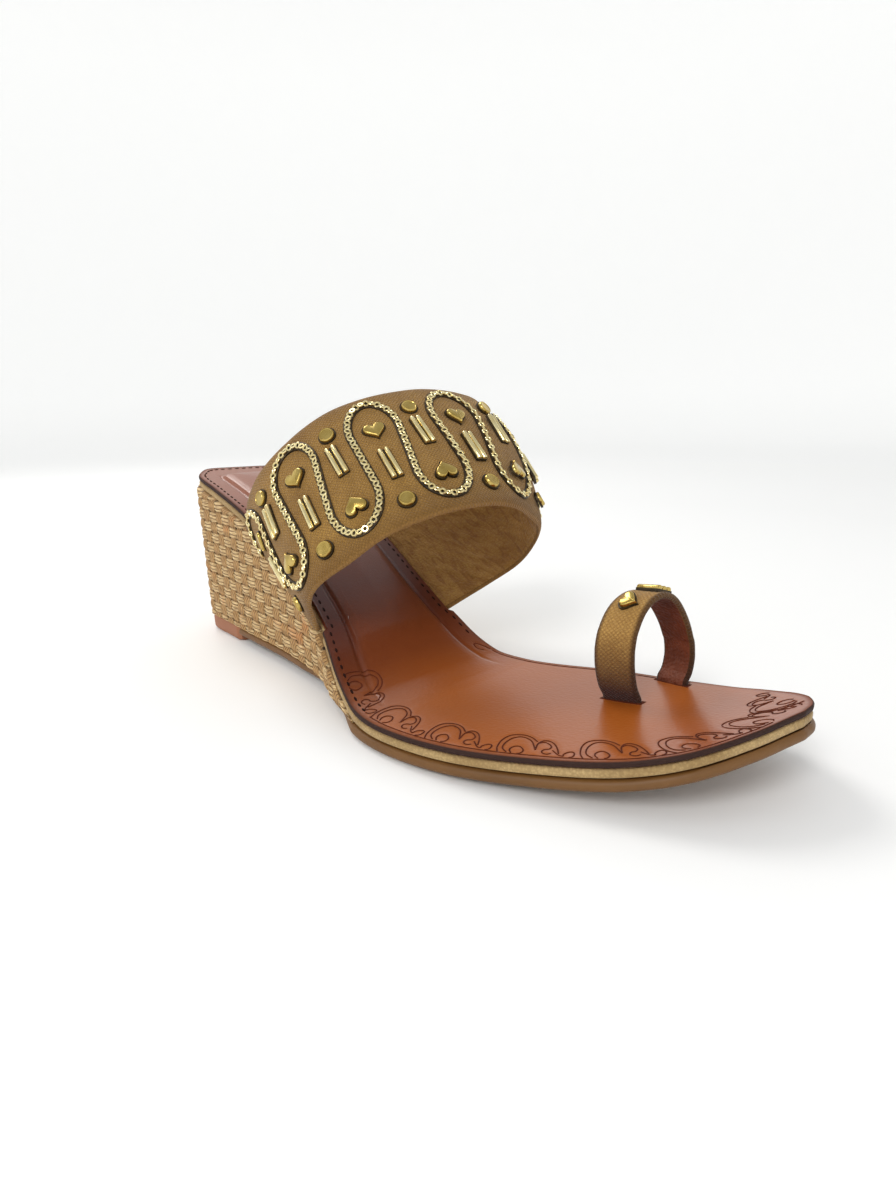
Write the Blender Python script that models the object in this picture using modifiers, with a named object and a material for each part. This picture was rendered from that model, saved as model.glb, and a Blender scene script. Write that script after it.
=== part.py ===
"""Wedge sandal for the right foot: one broad instep strap, a loop for the big toe and a straw-wrapped wedge.

Metres, +Z up. The toe points along +X and the inner (medial) side of the foot is +Y.
The origin is under the middle of the sandal's box, on the floor.
"""

import math

import bmesh
import bpy
import numpy as np
from mathutils import Matrix, Vector
from mathutils.geometry import interpolate_bezier

# Foot sizes
FOOT_LENGTH = 0.250  # insole, back edge to toe
BALL_WIDTH = 0.0794
HEEL_RISE = 0.0626  # footbed at the back above the footbed at the ball
TOE_SPRING = 0.016  # rise of the toe above the ball

# Sole layers
CLEARANCE = 0.0003  # left between pieces that are glued on the real sandal
INSOLE_THICK = 0.0018
MIDSOLE_THICK = 0.0025
OUTSOLE_THICK = 0.0034
OUTSOLE_STAND = 0.0009  # outsole beyond the midsole edge
WEDGE_STAND = 0.0007  # wedge beyond the midsole edge
WEDGE_LEAN = 0.0022  # back of the wedge, further in at its foot
WAIST_LIFT = 0.0028  # outsole off the floor under the wedge
TOP_PIECE_LENGTH = 0.032
TOP_PIECE_SETBACK = 0.0026
TOP_PIECE_GAP = 0.0016  # dark gap between top piece and outsole

# Padded seat of the insole
PAD_RISE = 0.0009
PAD_INSET = 0.0092  # groove round the pad, from the edge
PAD_END = 0.60  # share of the length where the pad has faded out

# Instep strap
STRAP_WALL = 0.0023
STRAP_STAND = 0.0010  # outer face of the strap beyond the midsole edge, at its base
STRAP_RISE = 0.075  # highest point of the strap above the footbed
STRAP_NOTCH_RUN = 0.0040  # the notch under the strap's base runs on, because its front edge leans forward
STRAP_SWELL = 0.0060  # most that the strap swells between its two edges

# Toe loop
LOOP_WALL = 0.0020
LOOP_WIDTH = 0.0115
LOOP_RISE = 0.0325  # top of the loop above the footbed
LOOP_SPAN = 0.0284  # outside, across the toe, at the front edge
LOOP_FLARE = 0.0024  # each side, wider at the rear edge
LOOP_ALONG = 0.803  # centre of the loop, share of FOOT_LENGTH
LOOP_OUT = 0.310  # centre of the loop towards the inner side, share of BALL_WIDTH
LOOP_SKEW = 0.17  # how far the loop runs forward for each length across the toe

# Trim on the strap: columns of pieces across it, with a chain that winds between them
TRIM_COLUMNS = 12
TRIM_START = 0.0093  # first column, along the girth from the outer base
TRIM_PITCH = 0.0154
TRIM_SLANT = 0.056  # columns lean along the girth, per length from rear to front edge
METAL_THICK = 0.0013
CHAIN_WIDTH = 0.0026
CHAIN_THICK = 0.0014
CHAIN_SWING = 0.0087  # half the width of a turn of the chain
CHAIN_MARGIN = 0.088  # share of the strap's width between a turn's end and the strap's edge
CHAIN_TURN = 0.30  # share of the strap's width where a turn is widest
HEART_PLACE = 0.33  # shares of the strap's width from the end that the turn closes
BARS_PLACE = 0.59
STUD_PLACE = 0.86
TURNED_HEART_PLACE = 0.26  # the same for the columns whose turn closes at the front edge
TURNED_STUD_PLACE = 0.80
HEART_WIDTH = 0.0076
STUD_WIDTH = 0.0056
BAR_LENGTH = 0.0128
BAR_WIDTH = 0.0017
BAR_PITCH = 0.0023
LOOP_HEART_WIDTH = 0.0056
LOOP_HEART_PLACE = 0.41  # shares of the toe loop's girth
LOOP_BARS_PLACE = 0.53
LOOP_BAR_LENGTH = 0.0080
LOOP_BAR_PITCH = 0.0021

# Outline of the insole: where each rib meets the outer and the inner side.
# Along is a share of FOOT_LENGTH, out a share of BALL_WIDTH from the foot's line.
RIBS = (
    # outer along, outer out, inner along, inner out
    (-0.006, 0.150, 0.000, 0.100),
    (-0.004, 0.216, 0.004, 0.186),
    (0.008, 0.266, 0.013, 0.262),
    (0.032, 0.314, 0.036, 0.312),
    (0.090, 0.325, 0.090, 0.330),
    (0.192, 0.341, 0.192, 0.343),
    (0.320, 0.357, 0.320, 0.310),
    (0.432, 0.407, 0.424, 0.276),
    (0.520, 0.505, 0.520, 0.276),
    (0.608, 0.569, 0.624, 0.339),
    (0.712, 0.526, 0.728, 0.466),
    (0.808, 0.412, 0.824, 0.503),
    (0.888, 0.293, 0.904, 0.495),
    (0.944, 0.170, 0.952, 0.430),
    (0.978, 0.006, 0.980, 0.352),
    (0.991, -0.105, 0.993, 0.282),
    (0.998, -0.168, 0.998, 0.232),
)

# Height of the footbed along the foot: shares of HEEL_RISE and of TOE_SPRING.
PROFILE = (
    # along, heel share, toe share
    (-0.01, 1.01, 0.0),
    (0.10, 0.90, 0.0),
    (0.20, 0.785, 0.0),
    (0.30, 0.588, 0.0),
    (0.40, 0.372, 0.0),
    (0.48, 0.185, 0.0),
    (0.56, 0.020, 0.0),
    (0.62, 0.0, 0.0),
    (0.70, 0.0, 0.03),
    (0.80, 0.0, 0.145),
    (0.90, 0.0, 0.395),
    (1.01, 0.0, 1.05),
)

# Underside of the outsole along the foot: share of WAIST_LIFT.
WAIST = (
    # along, lift share
    (0.0, 1.0),
    (0.30, 1.0),
    (0.40, 0.85),
    (0.48, 0.50),
    (0.56, 0.0),
    (1.01, 0.0),
)

# The strap's two edges, a row for each section from the outer side over the instep to the inner side.
# Along is a share of FOOT_LENGTH, out a share of BALL_WIDTH towards the inner side,
# up a share of STRAP_RISE above the footbed at the same place, swell a share of STRAP_SWELL.
STRAP_OUTER_BASE = (0.212, 0.432)  # rear and front edge along the foot, where the strap leaves the sole
STRAP_INNER_BASE = (0.240, 0.456)
STRAP = (
    # rear along, rear out, rear up, front along, front out, front up, swell
    (0.232, -0.382, 0.037, 0.438, -0.447, 0.007, 0.05),
    (0.260, -0.409, 0.190, 0.460, -0.510, 0.172, 0.10),
    (0.300, -0.397, 0.405, 0.486, -0.504, 0.322, 0.15),
    (0.340, -0.302, 0.630, 0.520, -0.416, 0.492, 0.15),
    (0.372, -0.183, 0.795, 0.548, -0.302, 0.638, 0.15),
    (0.392, -0.050, 0.890, 0.572, -0.164, 0.723, 0.15),
    (0.408, 0.101, 0.953, 0.590, 0.0, 0.761, 0.20),
    (0.420, 0.264, 0.993, 0.596, 0.164, 0.760, 0.30),
    (0.426, 0.460, 0.985, 0.596, 0.315, 0.725, 0.55),
    (0.420, 0.615, 0.925, 0.584, 0.453, 0.657, 0.85),
    (0.398, 0.690, 0.750, 0.572, 0.560, 0.580, 1.00),
    (0.352, 0.665, 0.490, 0.554, 0.595, 0.470, 0.80),
    (0.300, 0.545, 0.225, 0.524, 0.570, 0.300, 0.45),
    (0.262, 0.425, 0.070, 0.494, 0.460, 0.140, 0.15),
)

# The toe loop's outer face, from its outer leg over the toe to its inner leg.
# Across is a share of LOOP_SPAN from the middle, up a share of LOOP_RISE above the footbed.
LOOP = (
    # across, up
    (-0.365, 0.02),
    (-0.440, 0.16),
    (-0.490, 0.36),
    (-0.500, 0.53),
    (-0.455, 0.73),
    (-0.345, 0.90),
    (-0.190, 0.985),
    (-0.020, 0.985),
    (0.140, 0.90),
    (0.300, 0.72),
    (0.425, 0.50),
    (0.490, 0.28),
    (0.470, 0.12),
    (0.405, 0.02),
)


def clear_scene():
    for item in list(bpy.data.objects):
        bpy.data.objects.remove(item)


def finish_material(name, colour, roughness, metallic=0.0):
    material = bpy.data.materials.new(name)
    material.use_nodes = True
    shader = material.node_tree.nodes["Principled BSDF"]
    shader.inputs["Base Color"].default_value = (*colour, 1.0)
    shader.inputs["Roughness"].default_value = roughness
    shader.inputs["Metallic"].default_value = metallic
    return material


def smooth(points, per_span):
    """A curve through the points, with per_span steps between each two."""
    points = [Vector(point) for point in points]
    last = len(points) - 1
    directions = []
    for i in range(last + 1):
        ahead, behind = points[min(i + 1, last)], points[max(i - 1, 0)]
        directions.append((ahead - behind).normalized())
    curve = [points[0]]
    for i in range(last):
        reach = (points[i + 1] - points[i]).length / 3
        start, end = points[i], points[i + 1]
        handles = start + directions[i] * reach, end - directions[i + 1] * reach
        curve += interpolate_bezier(start, *handles, end, per_span + 1)[1:]
    return np.array([point[:] for point in curve])


def sampled(rows, column):
    """A function of the place along the foot, through one column of a table."""
    curve = smooth([(row[0], row[column], 0) for row in rows], 12)
    return lambda along: np.maximum(np.interp(along, curve[:, 0], curve[:, 1]), 0.0)


heel_share, toe_share, waist_share = sampled(PROFILE, 1), sampled(PROFILE, 2), sampled(WAIST, 1)
STACK = INSOLE_THICK + MIDSOLE_THICK + OUTSOLE_THICK + 2 * CLEARANCE


def footbed(x):
    """Height of the insole's top above the floor."""
    along = x / FOOT_LENGTH
    return STACK + HEEL_RISE * heel_share(along) + TOE_SPRING * toe_share(along)


def seam(x):
    """Height of the midsole's underside."""
    return footbed(x) - INSOLE_THICK - CLEARANCE - MIDSOLE_THICK


def outsole_under(x):
    along = x / FOOT_LENGTH
    return WAIST_LIFT * waist_share(along) + TOE_SPRING * toe_share(along)


def outsole_over(x):
    return np.minimum(outsole_under(x) + OUTSOLE_THICK, seam(x) - CLEARANCE)


SIDES = {
    "outer": smooth([(r[0] * FOOT_LENGTH, -r[1] * BALL_WIDTH, 0) for r in RIBS], 4)[:, :2],
    "inner": smooth([(r[2] * FOOT_LENGTH, r[3] * BALL_WIDTH, 0) for r in RIBS], 4)[:, :2],
}
INWARD = {}
for side, turn in (("outer", 1), ("inner", -1)):
    run = np.gradient(SIDES[side], axis=0)
    across = np.stack([-run[:, 1], run[:, 0]], axis=1) * turn
    INWARD[side] = across / np.linalg.norm(across, axis=1, keepdims=True)
MIDDLE_X = (SIDES["outer"][:, 0] + SIDES["inner"][:, 0]) / 2


def edge(side, place, inset):
    """Where a rib meets the outline, moved inwards by inset. Place counts ribs, and may lie between two."""
    ribs = np.arange(len(MIDDLE_X))
    point = [np.interp(place, ribs, SIDES[side][:, i]) for i in (0, 1)]
    inward = [np.interp(place, ribs, INWARD[side][:, i]) for i in (0, 1)]
    return np.array(point) + inset * np.array(inward)


def side_at(side, x, inset=0.0):
    """The outline's y at this x."""
    points = SIDES[side] + inset * INWARD[side]
    return np.interp(x, points[:, 0], points[:, 1])


def places(start, stop, extra=()):
    """The ribs between two lengths along the foot, with one at each end and at each extra length."""
    ends = np.interp([start, stop, *extra], MIDDLE_X, np.arange(len(MIDDLE_X)))
    inside = [i for i in range(len(MIDDLE_X)) if np.abs(ends - i).min() > 0.2]
    return sorted(p for p in {*ends, *inside} if ends[0] <= p <= ends[1])


def skin(bm, rows, closed):
    """Faces between neighbouring rows of vertices."""
    for first, second in zip(rows, rows[1:]):
        count = len(first)
        for i in range(count if closed else count - 1):
            j = (i + 1) % count
            bm.faces.new((first[i], first[j], second[j], second[i]))


def add_object(name, bm, material):
    bmesh.ops.recalc_face_normals(bm, faces=bm.faces)
    mesh = bpy.data.meshes.new(name)
    bm.to_mesh(mesh)
    bm.free()
    mesh.materials.append(material)
    item = bpy.data.objects.new(name, mesh)
    SANDAL.objects.link(item)
    return item


def layer(name, ribs, rows, material, notch=None, crown=()):
    """A layer of the sole: outlines from the underside up, each with an inset and a height, and a face above and below.

    Crown rows (distance from the edge, height as a function of x) shape the top face between its sides.
    """
    bm = bmesh.new()
    outlines = []
    for inset, height in rows:
        points = []
        for side, order in (("outer", ribs), ("inner", ribs[::-1])):
            for place in order:
                cut = notch(side, edge(side, place, 0)[0]) if notch else 0.0
                x, y = edge(side, place, inset + cut)
                points.append(bm.verts.new((x, y, height(x))))
        outlines.append(points)
    skin(bm, outlines, closed=True)
    cap(bm, outlines[0])
    cap(bm, outlines[-1], crown)
    return add_object(name, bm, material)


def cap(bm, outline, crown=()):
    """A face across an outline, in strips from side to side, with its crown rows between the end strips."""
    count = len(outline) // 2
    strips = []
    for i in range(count):
        outer, inner = outline[i], outline[-1 - i]
        strip = [outer]
        if 0 < i < count - 1:
            for share, height in crown_places(crown, (inner.co - outer.co).length):
                x, y, _ = outer.co.lerp(inner.co, share)
                strip.append(bm.verts.new((x, y, height(x))))
        strips.append([*strip, inner])
    skin(bm, strips[1:-1], closed=False)
    for end, beside in ((strips[0], strips[1]), (strips[-1], strips[-2])):
        bm.faces.new([*end, *beside[::-1]])


def crown_places(crown, width):
    """Shares of the width for crown rows counted from both sides, drawn together where the foot is narrow."""
    if not crown:
        return []
    deepest = crown[-1][0]
    shrink = min(1.0, 0.42 * width / deepest)
    near = [(shrink * distance / width, height) for distance, height in crown]
    far = [(1 - share, height) for share, height in near[::-1]]
    return [*near, (0.5, crown[-1][1]), *far]


def below_footbed(depth):
    return lambda x: footbed(x) - depth


def notch_stations(side):
    """Lengths along the foot where the notch under one end of the strap's base starts, is full, and ends."""
    start, stop = STRAP_OUTER_BASE if side == "outer" else STRAP_INNER_BASE
    start, stop = start * FOOT_LENGTH, stop * FOOT_LENGTH + STRAP_NOTCH_RUN
    ramp = 2 * CLEARANCE
    return (start - 2 * ramp, start - ramp, stop, stop + ramp)


def strap_notch(side, x):
    """How far the insole and midsole stand back under the strap's base."""
    depth = STRAP_WALL - STRAP_STAND + 4 * CLEARANCE
    return np.interp(x, notch_stations(side), [0, depth, depth, 0])


def notch_places():
    return [*notch_stations("outer"), *notch_stations("inner")]


def pad_share(x):
    """The seat pad's height along the foot, as a share of PAD_RISE."""
    back = PAD_INSET / FOOT_LENGTH
    return np.interp(x / FOOT_LENGTH, [back, 1.35 * back, PAD_END - 0.12, PAD_END], [0, 1, 1, 0])


def make_insole():
    def padded(share):
        return lambda x: footbed(x) + PAD_RISE * share * pad_share(x)

    rows = (
        (0.0002, below_footbed(INSOLE_THICK)),
        (0.0, below_footbed(0.3 * INSOLE_THICK)),
        (0.0005, below_footbed(0.0)),
    )
    crown = (
        (PAD_INSET - 0.0008, padded(0.0)),
        (PAD_INSET, padded(-0.35)),
        (PAD_INSET + 0.0016, padded(0.8)),
        (PAD_INSET + 0.0060, padded(1.0)),
    )
    leather = finish_material("insole leather", (0.37, 0.09, 0.02), 0.3)
    ribs = places(MIDDLE_X[0], MIDDLE_X[-1], notch_places())
    return layer("insole", ribs, rows, leather, strap_notch, crown)


def make_midsole():
    top = INSOLE_THICK + CLEARANCE
    rows = (
        (0.0006, seam),
        (0.0, lambda x: seam(x) + 0.25 * MIDSOLE_THICK),
        (0.0, below_footbed(top + 0.2 * MIDSOLE_THICK)),
        (0.0005, below_footbed(top)),
    )
    nubuck = finish_material("midsole nubuck", (0.50, 0.33, 0.15), 0.85)
    ribs = places(MIDDLE_X[0], MIDDLE_X[-1], notch_places())
    return layer("midsole", ribs, rows, nubuck, strap_notch)


def wedge_end():
    """Length along the foot where the seam comes down to the outsole and the wedge runs out."""
    lengths = np.linspace(0.4, 0.6, 400) * FOOT_LENGTH
    room = seam(lengths) - outsole_under(lengths) - OUTSOLE_THICK
    return float(lengths[np.argmax(room < 4 * CLEARANCE)])


def wedge_lean(x, share):
    """The wedge's back face comes in towards its foot; the sides hardly do."""
    return WEDGE_LEAN * share * np.interp(x, [0, 0.03 * FOOT_LENGTH], [1.0, 0.15])


def make_wedge():
    end = wedge_end()
    ribs = places(MIDDLE_X[0], end)
    foot = outsole_under(0) + OUTSOLE_THICK + CLEARANCE
    bm = bmesh.new()
    outlines = []
    for share in (1.0, 0.66, 0.33, 0.0):
        points = []
        for side, order in (("outer", ribs), ("inner", ribs[::-1])):
            for place in order:
                lean = wedge_lean(edge(side, place, 0)[0], share)
                x, y = edge(side, place, lean - WEDGE_STAND)
                low = min(foot, outsole_over(x) + CLEARANCE)
                high = seam(x) - CLEARANCE
                points.append(bm.verts.new((x, y, high + (low - high) * share)))
        outlines.append(points)
    skin(bm, outlines, closed=True)
    cap(bm, outlines[0])
    cap(bm, outlines[-1])
    straw = finish_material("wedge straw", (0.60, 0.38, 0.16), 0.8)
    return add_object("wedge_heel", bm, straw)


def make_outsole():
    start = TOP_PIECE_SETBACK + TOP_PIECE_LENGTH + TOP_PIECE_GAP

    def tucked(x):
        """Under the waist the outsole draws in beneath the wedge's end."""
        return np.interp(x / FOOT_LENGTH, [0.36, 0.44, 0.52, 0.57], [0.0, 0.0022, 0.0022, 0.0])

    def between(share):
        return lambda x: outsole_under(x) + share * (outsole_over(x) - outsole_under(x))

    rows = (
        (0.0020, between(0.0)),
        (0.0007, between(0.18)),
        (0.0, between(0.50)),
        (0.0002, between(0.85)),
        (0.0009, between(1.0)),
    )
    stand = [(inset - OUTSOLE_STAND, height) for inset, height in rows]
    rubber = finish_material("outsole rubber", (0.30, 0.14, 0.05), 0.55)
    ribs = places(start, MIDDLE_X[-1])
    return layer("outsole", ribs, stand, rubber, lambda side, x: tucked(x))


def make_top_piece():
    start, stop = TOP_PIECE_SETBACK, TOP_PIECE_SETBACK + TOP_PIECE_LENGTH
    foot = outsole_under(0) + OUTSOLE_THICK
    lean = WEDGE_LEAN * 0.15 - WEDGE_STAND

    def drawn_in(side, x):
        """Rounded front corners, and a back that stands in as far as the wedge's foot."""
        return np.interp(x, [start, start + 0.004, stop - 0.003, stop], [0.0, 0.0, 0.0, 0.002])

    rows = (
        (lean + 0.0010, lambda x: 0 * x),
        (lean + 0.0002, lambda x: 0.15 * foot + 0 * x),
        (lean, lambda x: 0.8 * foot + 0 * x),
        (lean + 0.0003, lambda x: foot + 0 * x),
    )
    rubber = finish_material("top piece rubber", (0.38, 0.18, 0.09), 0.6)
    ribs = places(start, stop, (start + 0.004, stop - 0.003))
    return layer("heel_top_piece", ribs, rows, rubber, drawn_in)


def strap_base(side, along):
    """Where the strap's outer face meets the top of the wedge."""
    x = along * FOOT_LENGTH
    y = side_at(side, x, -STRAP_STAND)
    return (x, float(y), float(seam(x)) + CLEARANCE)


def strap_row(along, out, up):
    x = along * FOOT_LENGTH
    return (x, out * BALL_WIDTH, float(footbed(x)) + up * STRAP_RISE)


STRAP_STEPS = 3
STRAP_EDGES = []
for columns, k in ((slice(0, 3), 0), (slice(3, 6), 1)):
    route = [strap_base("outer", STRAP_OUTER_BASE[k])]
    route += [strap_row(*row[columns]) for row in STRAP]
    route += [strap_base("inner", STRAP_INNER_BASE[k])]
    STRAP_EDGES.append(smooth(route, STRAP_STEPS))
STRAP_MIDDLE = (STRAP_EDGES[0] + STRAP_EDGES[1]) / 2
STRAP_GIRTH = np.concatenate([[0], np.cumsum(np.linalg.norm(np.diff(STRAP_MIDDLE, axis=0), axis=1))])


def strap_swell(girth):
    """Share of the swell at this place along the girth."""
    shares = [0.0, *(row[6] for row in STRAP), 0.0]
    return np.interp(girth, STRAP_GIRTH[::STRAP_STEPS], shares)


def strap_plain(girth, v):
    """A point on the straight rulings between the strap's rear (v = 0) and front (v = 1) edges."""
    edges = [
        np.array([np.interp(girth, STRAP_GIRTH, line[:, i]) for i in range(3)])
        for line in STRAP_EDGES
    ]
    return edges[0] + (edges[1] - edges[0]) * v


def strap_frame(girth, v):
    """Point on the strap's outer face with its outward normal and the direction along the girth."""
    step = 0.002
    along = strap_plain(girth + step, v) - strap_plain(girth - step, v)
    down = strap_plain(girth, 1.0) - strap_plain(girth, 0.0)
    normal = np.cross(down, along)
    normal /= np.linalg.norm(normal)
    along /= np.linalg.norm(along)
    swell = STRAP_SWELL * math.sin(math.pi * v) * strap_swell(girth)
    return strap_plain(girth, v) + swell * normal, normal, along


def make_strap():
    bm = bmesh.new()
    across = np.linspace(0, 1, 9)
    rows = [[bm.verts.new(strap_frame(girth, v)[0]) for v in across] for girth in STRAP_GIRTH]
    skin(bm, rows, closed=False)
    nubuck = finish_material("strap nubuck", (0.32, 0.18, 0.06), 0.9)
    strap = add_object("instep_strap", bm, nubuck)
    wall_inward(strap, STRAP_WALL)
    return strap


def loop_point(across, up, depth):
    """A point on the toe loop's outer face. Depth runs from 0 at its rear edge to 1 at its front edge."""
    sideways = across * (LOOP_SPAN + 2 * LOOP_FLARE * (1 - depth))
    x = LOOP_ALONG * FOOT_LENGTH + (depth - 0.5) * LOOP_WIDTH + LOOP_SKEW * sideways
    return (x, LOOP_OUT * BALL_WIDTH + sideways, float(footbed(x)) + up)


def loop_route():
    """The loop's outer face seen from the front: across shares and heights above the footbed."""
    arch = smooth([(across, up, 0) for across, up in LOOP], 2)
    over = [(across, up * LOOP_RISE, 0) for across, up, _ in arch]
    return [(LOOP[0][0], -INSOLE_THICK, 0), *over, (LOOP[-1][0], -INSOLE_THICK, 0)]


def make_toe_loop():
    bm = bmesh.new()
    depths = np.linspace(0, 1, 4)
    rows = [[bm.verts.new(loop_point(across, up, d)) for d in depths] for across, up, _ in loop_route()]
    skin(bm, rows, closed=False)
    nubuck = finish_material("toe loop nubuck", (0.32, 0.18, 0.06), 0.9)
    loop = add_object("toe_loop", bm, nubuck)
    wall_inward(loop, LOOP_WALL)
    return loop


def wall_inward(item, thickness):
    """Gives an open skin its wall, on the side away from its normals, which face out of the foot's space."""
    shell = item.modifiers.new("wall", "SOLIDIFY")
    shell.thickness = thickness
    shell.offset = -1.0
    shell.use_even_offset = True


def cut_slits(insole):
    """The legs of the toe loop go through the insole, with room all round."""
    room = 2 * CLEARANCE
    for leg, sign in ((LOOP[0][0], -1), (LOOP[-1][0], 1)):
        bm = bmesh.new()
        rows = []
        for height in (-3 * INSOLE_THICK, INSOLE_THICK):
            ring = []
            for depth, wall in ((0, 0), (1, 0), (1, 1), (0, 1)):
                x, y, z = loop_point(leg, height, depth)
                clear = room if not wall else -LOOP_WALL - room
                reach = room if depth else -room
                ring.append(bm.verts.new((x + reach, y + sign * clear, z)))
            rows.append(ring)
        skin(bm, rows, closed=True)
        bmesh.ops.holes_fill(bm, edges=bm.edges)
        cutter = add_object("slit_cutter", bm, insole.data.materials[0])
        SANDAL.objects.unlink(cutter)
        CUTTERS.objects.link(cutter)
        cutter.hide_render = True
        cutter.display_type = "WIRE"
        cut = insole.modifiers.new("slit", "BOOLEAN")
        cut.object = cutter
        cut.solver = "EXACT"


def trim_place(column, share):
    """Girth and share across the strap for a place in a column; odd columns count from the front edge."""
    v = share if column % 2 == 0 else 1 - share
    return TRIM_START + column * TRIM_PITCH - TRIM_SLANT * (v - 0.5) * STRAP_DEPTH, v


def settle(bm, origin, normal, along):
    """Turns a trim piece modelled flat, facing +Z with its length along +Y, and sets it on a surface."""
    normal, along = Vector(normal).normalized(), Vector(along).normalized()
    length = normal.cross(along).normalized()
    side = length.cross(normal)
    turn = Matrix((side, length, normal)).transposed().to_4x4()
    turn.translation = Vector(origin) + SEAT * normal
    bmesh.ops.transform(bm, matrix=turn, verts=bm.verts)


def plate(outline, thickness, shrink):
    """A flat casting: its outline raised to its thickness, with the top edge drawn in."""
    bm = bmesh.new()
    face = bm.faces.new([bm.verts.new((x, y, 0)) for x, y in outline])
    bm.normal_update()
    if face.normal.z < 0:
        face.normal_flip()
    low = bmesh.ops.extrude_face_region(bm, geom=[face])
    verts = [v for v in low["geom"] if isinstance(v, bmesh.types.BMVert)]
    bmesh.ops.translate(bm, vec=(0, 0, 0.65 * thickness), verts=verts)
    top = [f for f in low["geom"] if isinstance(f, bmesh.types.BMFace)]
    upper = bmesh.ops.extrude_face_region(bm, geom=top)
    verts = [v for v in upper["geom"] if isinstance(v, bmesh.types.BMVert)]
    bmesh.ops.translate(bm, vec=(0, 0, 0.35 * thickness), verts=verts)
    bmesh.ops.scale(bm, vec=(shrink, shrink, 1), verts=verts)
    bmesh.ops.delete(bm, geom=top, context="FACES_ONLY")
    return bm


def heart_outline(width, steps=18):
    """A heart with its point towards -Y, drawn by the usual sine curve."""
    scale = width / 32
    outline = []
    for i in range(steps):
        t = math.tau * (i + 0.5) / steps
        lobes = 13 * math.cos(t) - 5 * math.cos(2 * t) - 2 * math.cos(3 * t) - math.cos(4 * t)
        outline.append((16 * scale * math.sin(t) ** 3, scale * (lobes + 2)))
    return outline


def circle_outline(width, steps=12):
    turns = [math.tau * i / steps for i in range(steps)]
    return [(width / 2 * math.cos(t), width / 2 * math.sin(t)) for t in turns]


def bar_set(count, length, pitch):
    """Half-round bars side by side, cast in one with a low tie across each end."""
    bm = bmesh.new()
    for i in range(count):
        middle = (i - (count - 1) / 2) * pitch
        half = BAR_WIDTH / 2
        section = [(-half, 0), (-half, 0.35), (-0.6 * half, 0.85), (0.6 * half, 0.85), (half, 0.35), (half, 0)]
        rows = []
        for y in (-length / 2, length / 2):
            rows.append([bm.verts.new((middle + x, y, z * METAL_THICK)) for x, z in section])
        skin(bm, rows, closed=True)
    bmesh.ops.holes_fill(bm, edges=bm.edges)
    return bm


def make_ties(bars, count, length, pitch, frame):
    """The low ties across the ends of a bar set, joined to it."""
    for end in (-1, 1):
        bm = bmesh.new()
        bmesh.ops.create_cube(bm, size=1.0)
        size = ((count - 1) * pitch, 0.0012, 0.3 * METAL_THICK)
        bmesh.ops.scale(bm, vec=size, verts=bm.verts)
        middle = (0, end * (length / 2 - 0.0014), 0.5 * size[2] + 0.0001)
        bmesh.ops.translate(bm, vec=middle, verts=bm.verts)
        settle(bm, *frame)
        tie = add_object("bar_tie", bm, bars.data.materials[0])
        SANDAL.objects.unlink(tie)
        CUTTERS.objects.link(tie)
        tie.hide_render = True
        tie.display_type = "WIRE"
        union = bars.modifiers.new("tie", "BOOLEAN")
        union.operation = "UNION"
        union.object = tie
        union.solver = "EXACT"


def make_trim():
    for column in range(TRIM_COLUMNS):
        facing = 1 if column % 2 == 0 else -1
        number = f"{column + 1:02d}"
        heart_place, stud_place = (HEART_PLACE, STUD_PLACE) if facing == 1 else (TURNED_HEART_PLACE, TURNED_STUD_PLACE)
        frame = trim_frame(column, heart_place, facing, HEART_WIDTH)
        heart = plate(heart_outline(HEART_WIDTH), METAL_THICK, 0.86)
        settle(heart, *frame)
        add_object(f"heart_{number}", heart, METAL)
        stud = plate(circle_outline(STUD_WIDTH), METAL_THICK, 0.8)
        settle(stud, *trim_frame(column, stud_place, facing, STUD_WIDTH))
        add_object(f"stud_{number}", stud, METAL)
        frame = trim_frame(column, BARS_PLACE, facing, BAR_LENGTH)
        bars = bar_set(2, BAR_LENGTH, BAR_PITCH)
        settle(bars, *frame)
        pair = add_object(f"bar_pair_{number}", bars, METAL)
        make_ties(pair, 2, BAR_LENGTH, BAR_PITCH, frame)


def clear_frame(girth, v, length):
    """The strap's frame at a place, raised clear of the highest spot of the face within this length."""
    origin, normal, along = strap_frame(girth, v)
    reach = np.linspace(-0.5, 0.5, 5) * length
    spots = [
        strap_frame(girth + step, min(max(v + deep / STRAP_DEPTH, 0), 1))[0]
        for step in 0.5 * reach for deep in reach
    ]
    proud = max(float(np.dot(spot - origin, normal)) for spot in spots)
    return origin + proud * normal, normal, along


def trim_frame(column, share, facing, length):
    """Where a piece of this length sits on the strap, in a column, facing one way along the girth or the other."""
    origin, normal, along = clear_frame(*trim_place(column, share), length)
    return origin, normal, facing * along


def chain_route():
    """Girth and share across the strap of each point of the chain."""
    route = []
    for column in range(TRIM_COLUMNS):
        for turn in np.linspace(-0.5, 0.5, 7):
            angle = turn * math.pi
            share = CHAIN_TURN - (CHAIN_TURN - CHAIN_MARGIN) * math.cos(angle)
            girth, v = trim_place(column, share)
            route.append((girth + CHAIN_SWING * math.sin(angle), v))
        if column < TRIM_COLUMNS - 1:
            start, stop = route[-1], trim_place(column + 1, CHAIN_TURN)
            stop = (stop[0] - CHAIN_SWING, stop[1])
            for share in (0.25, 0.5, 0.75):
                route.append(tuple(np.array(start) + share * (np.array(stop) - np.array(start))))
    return route


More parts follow.
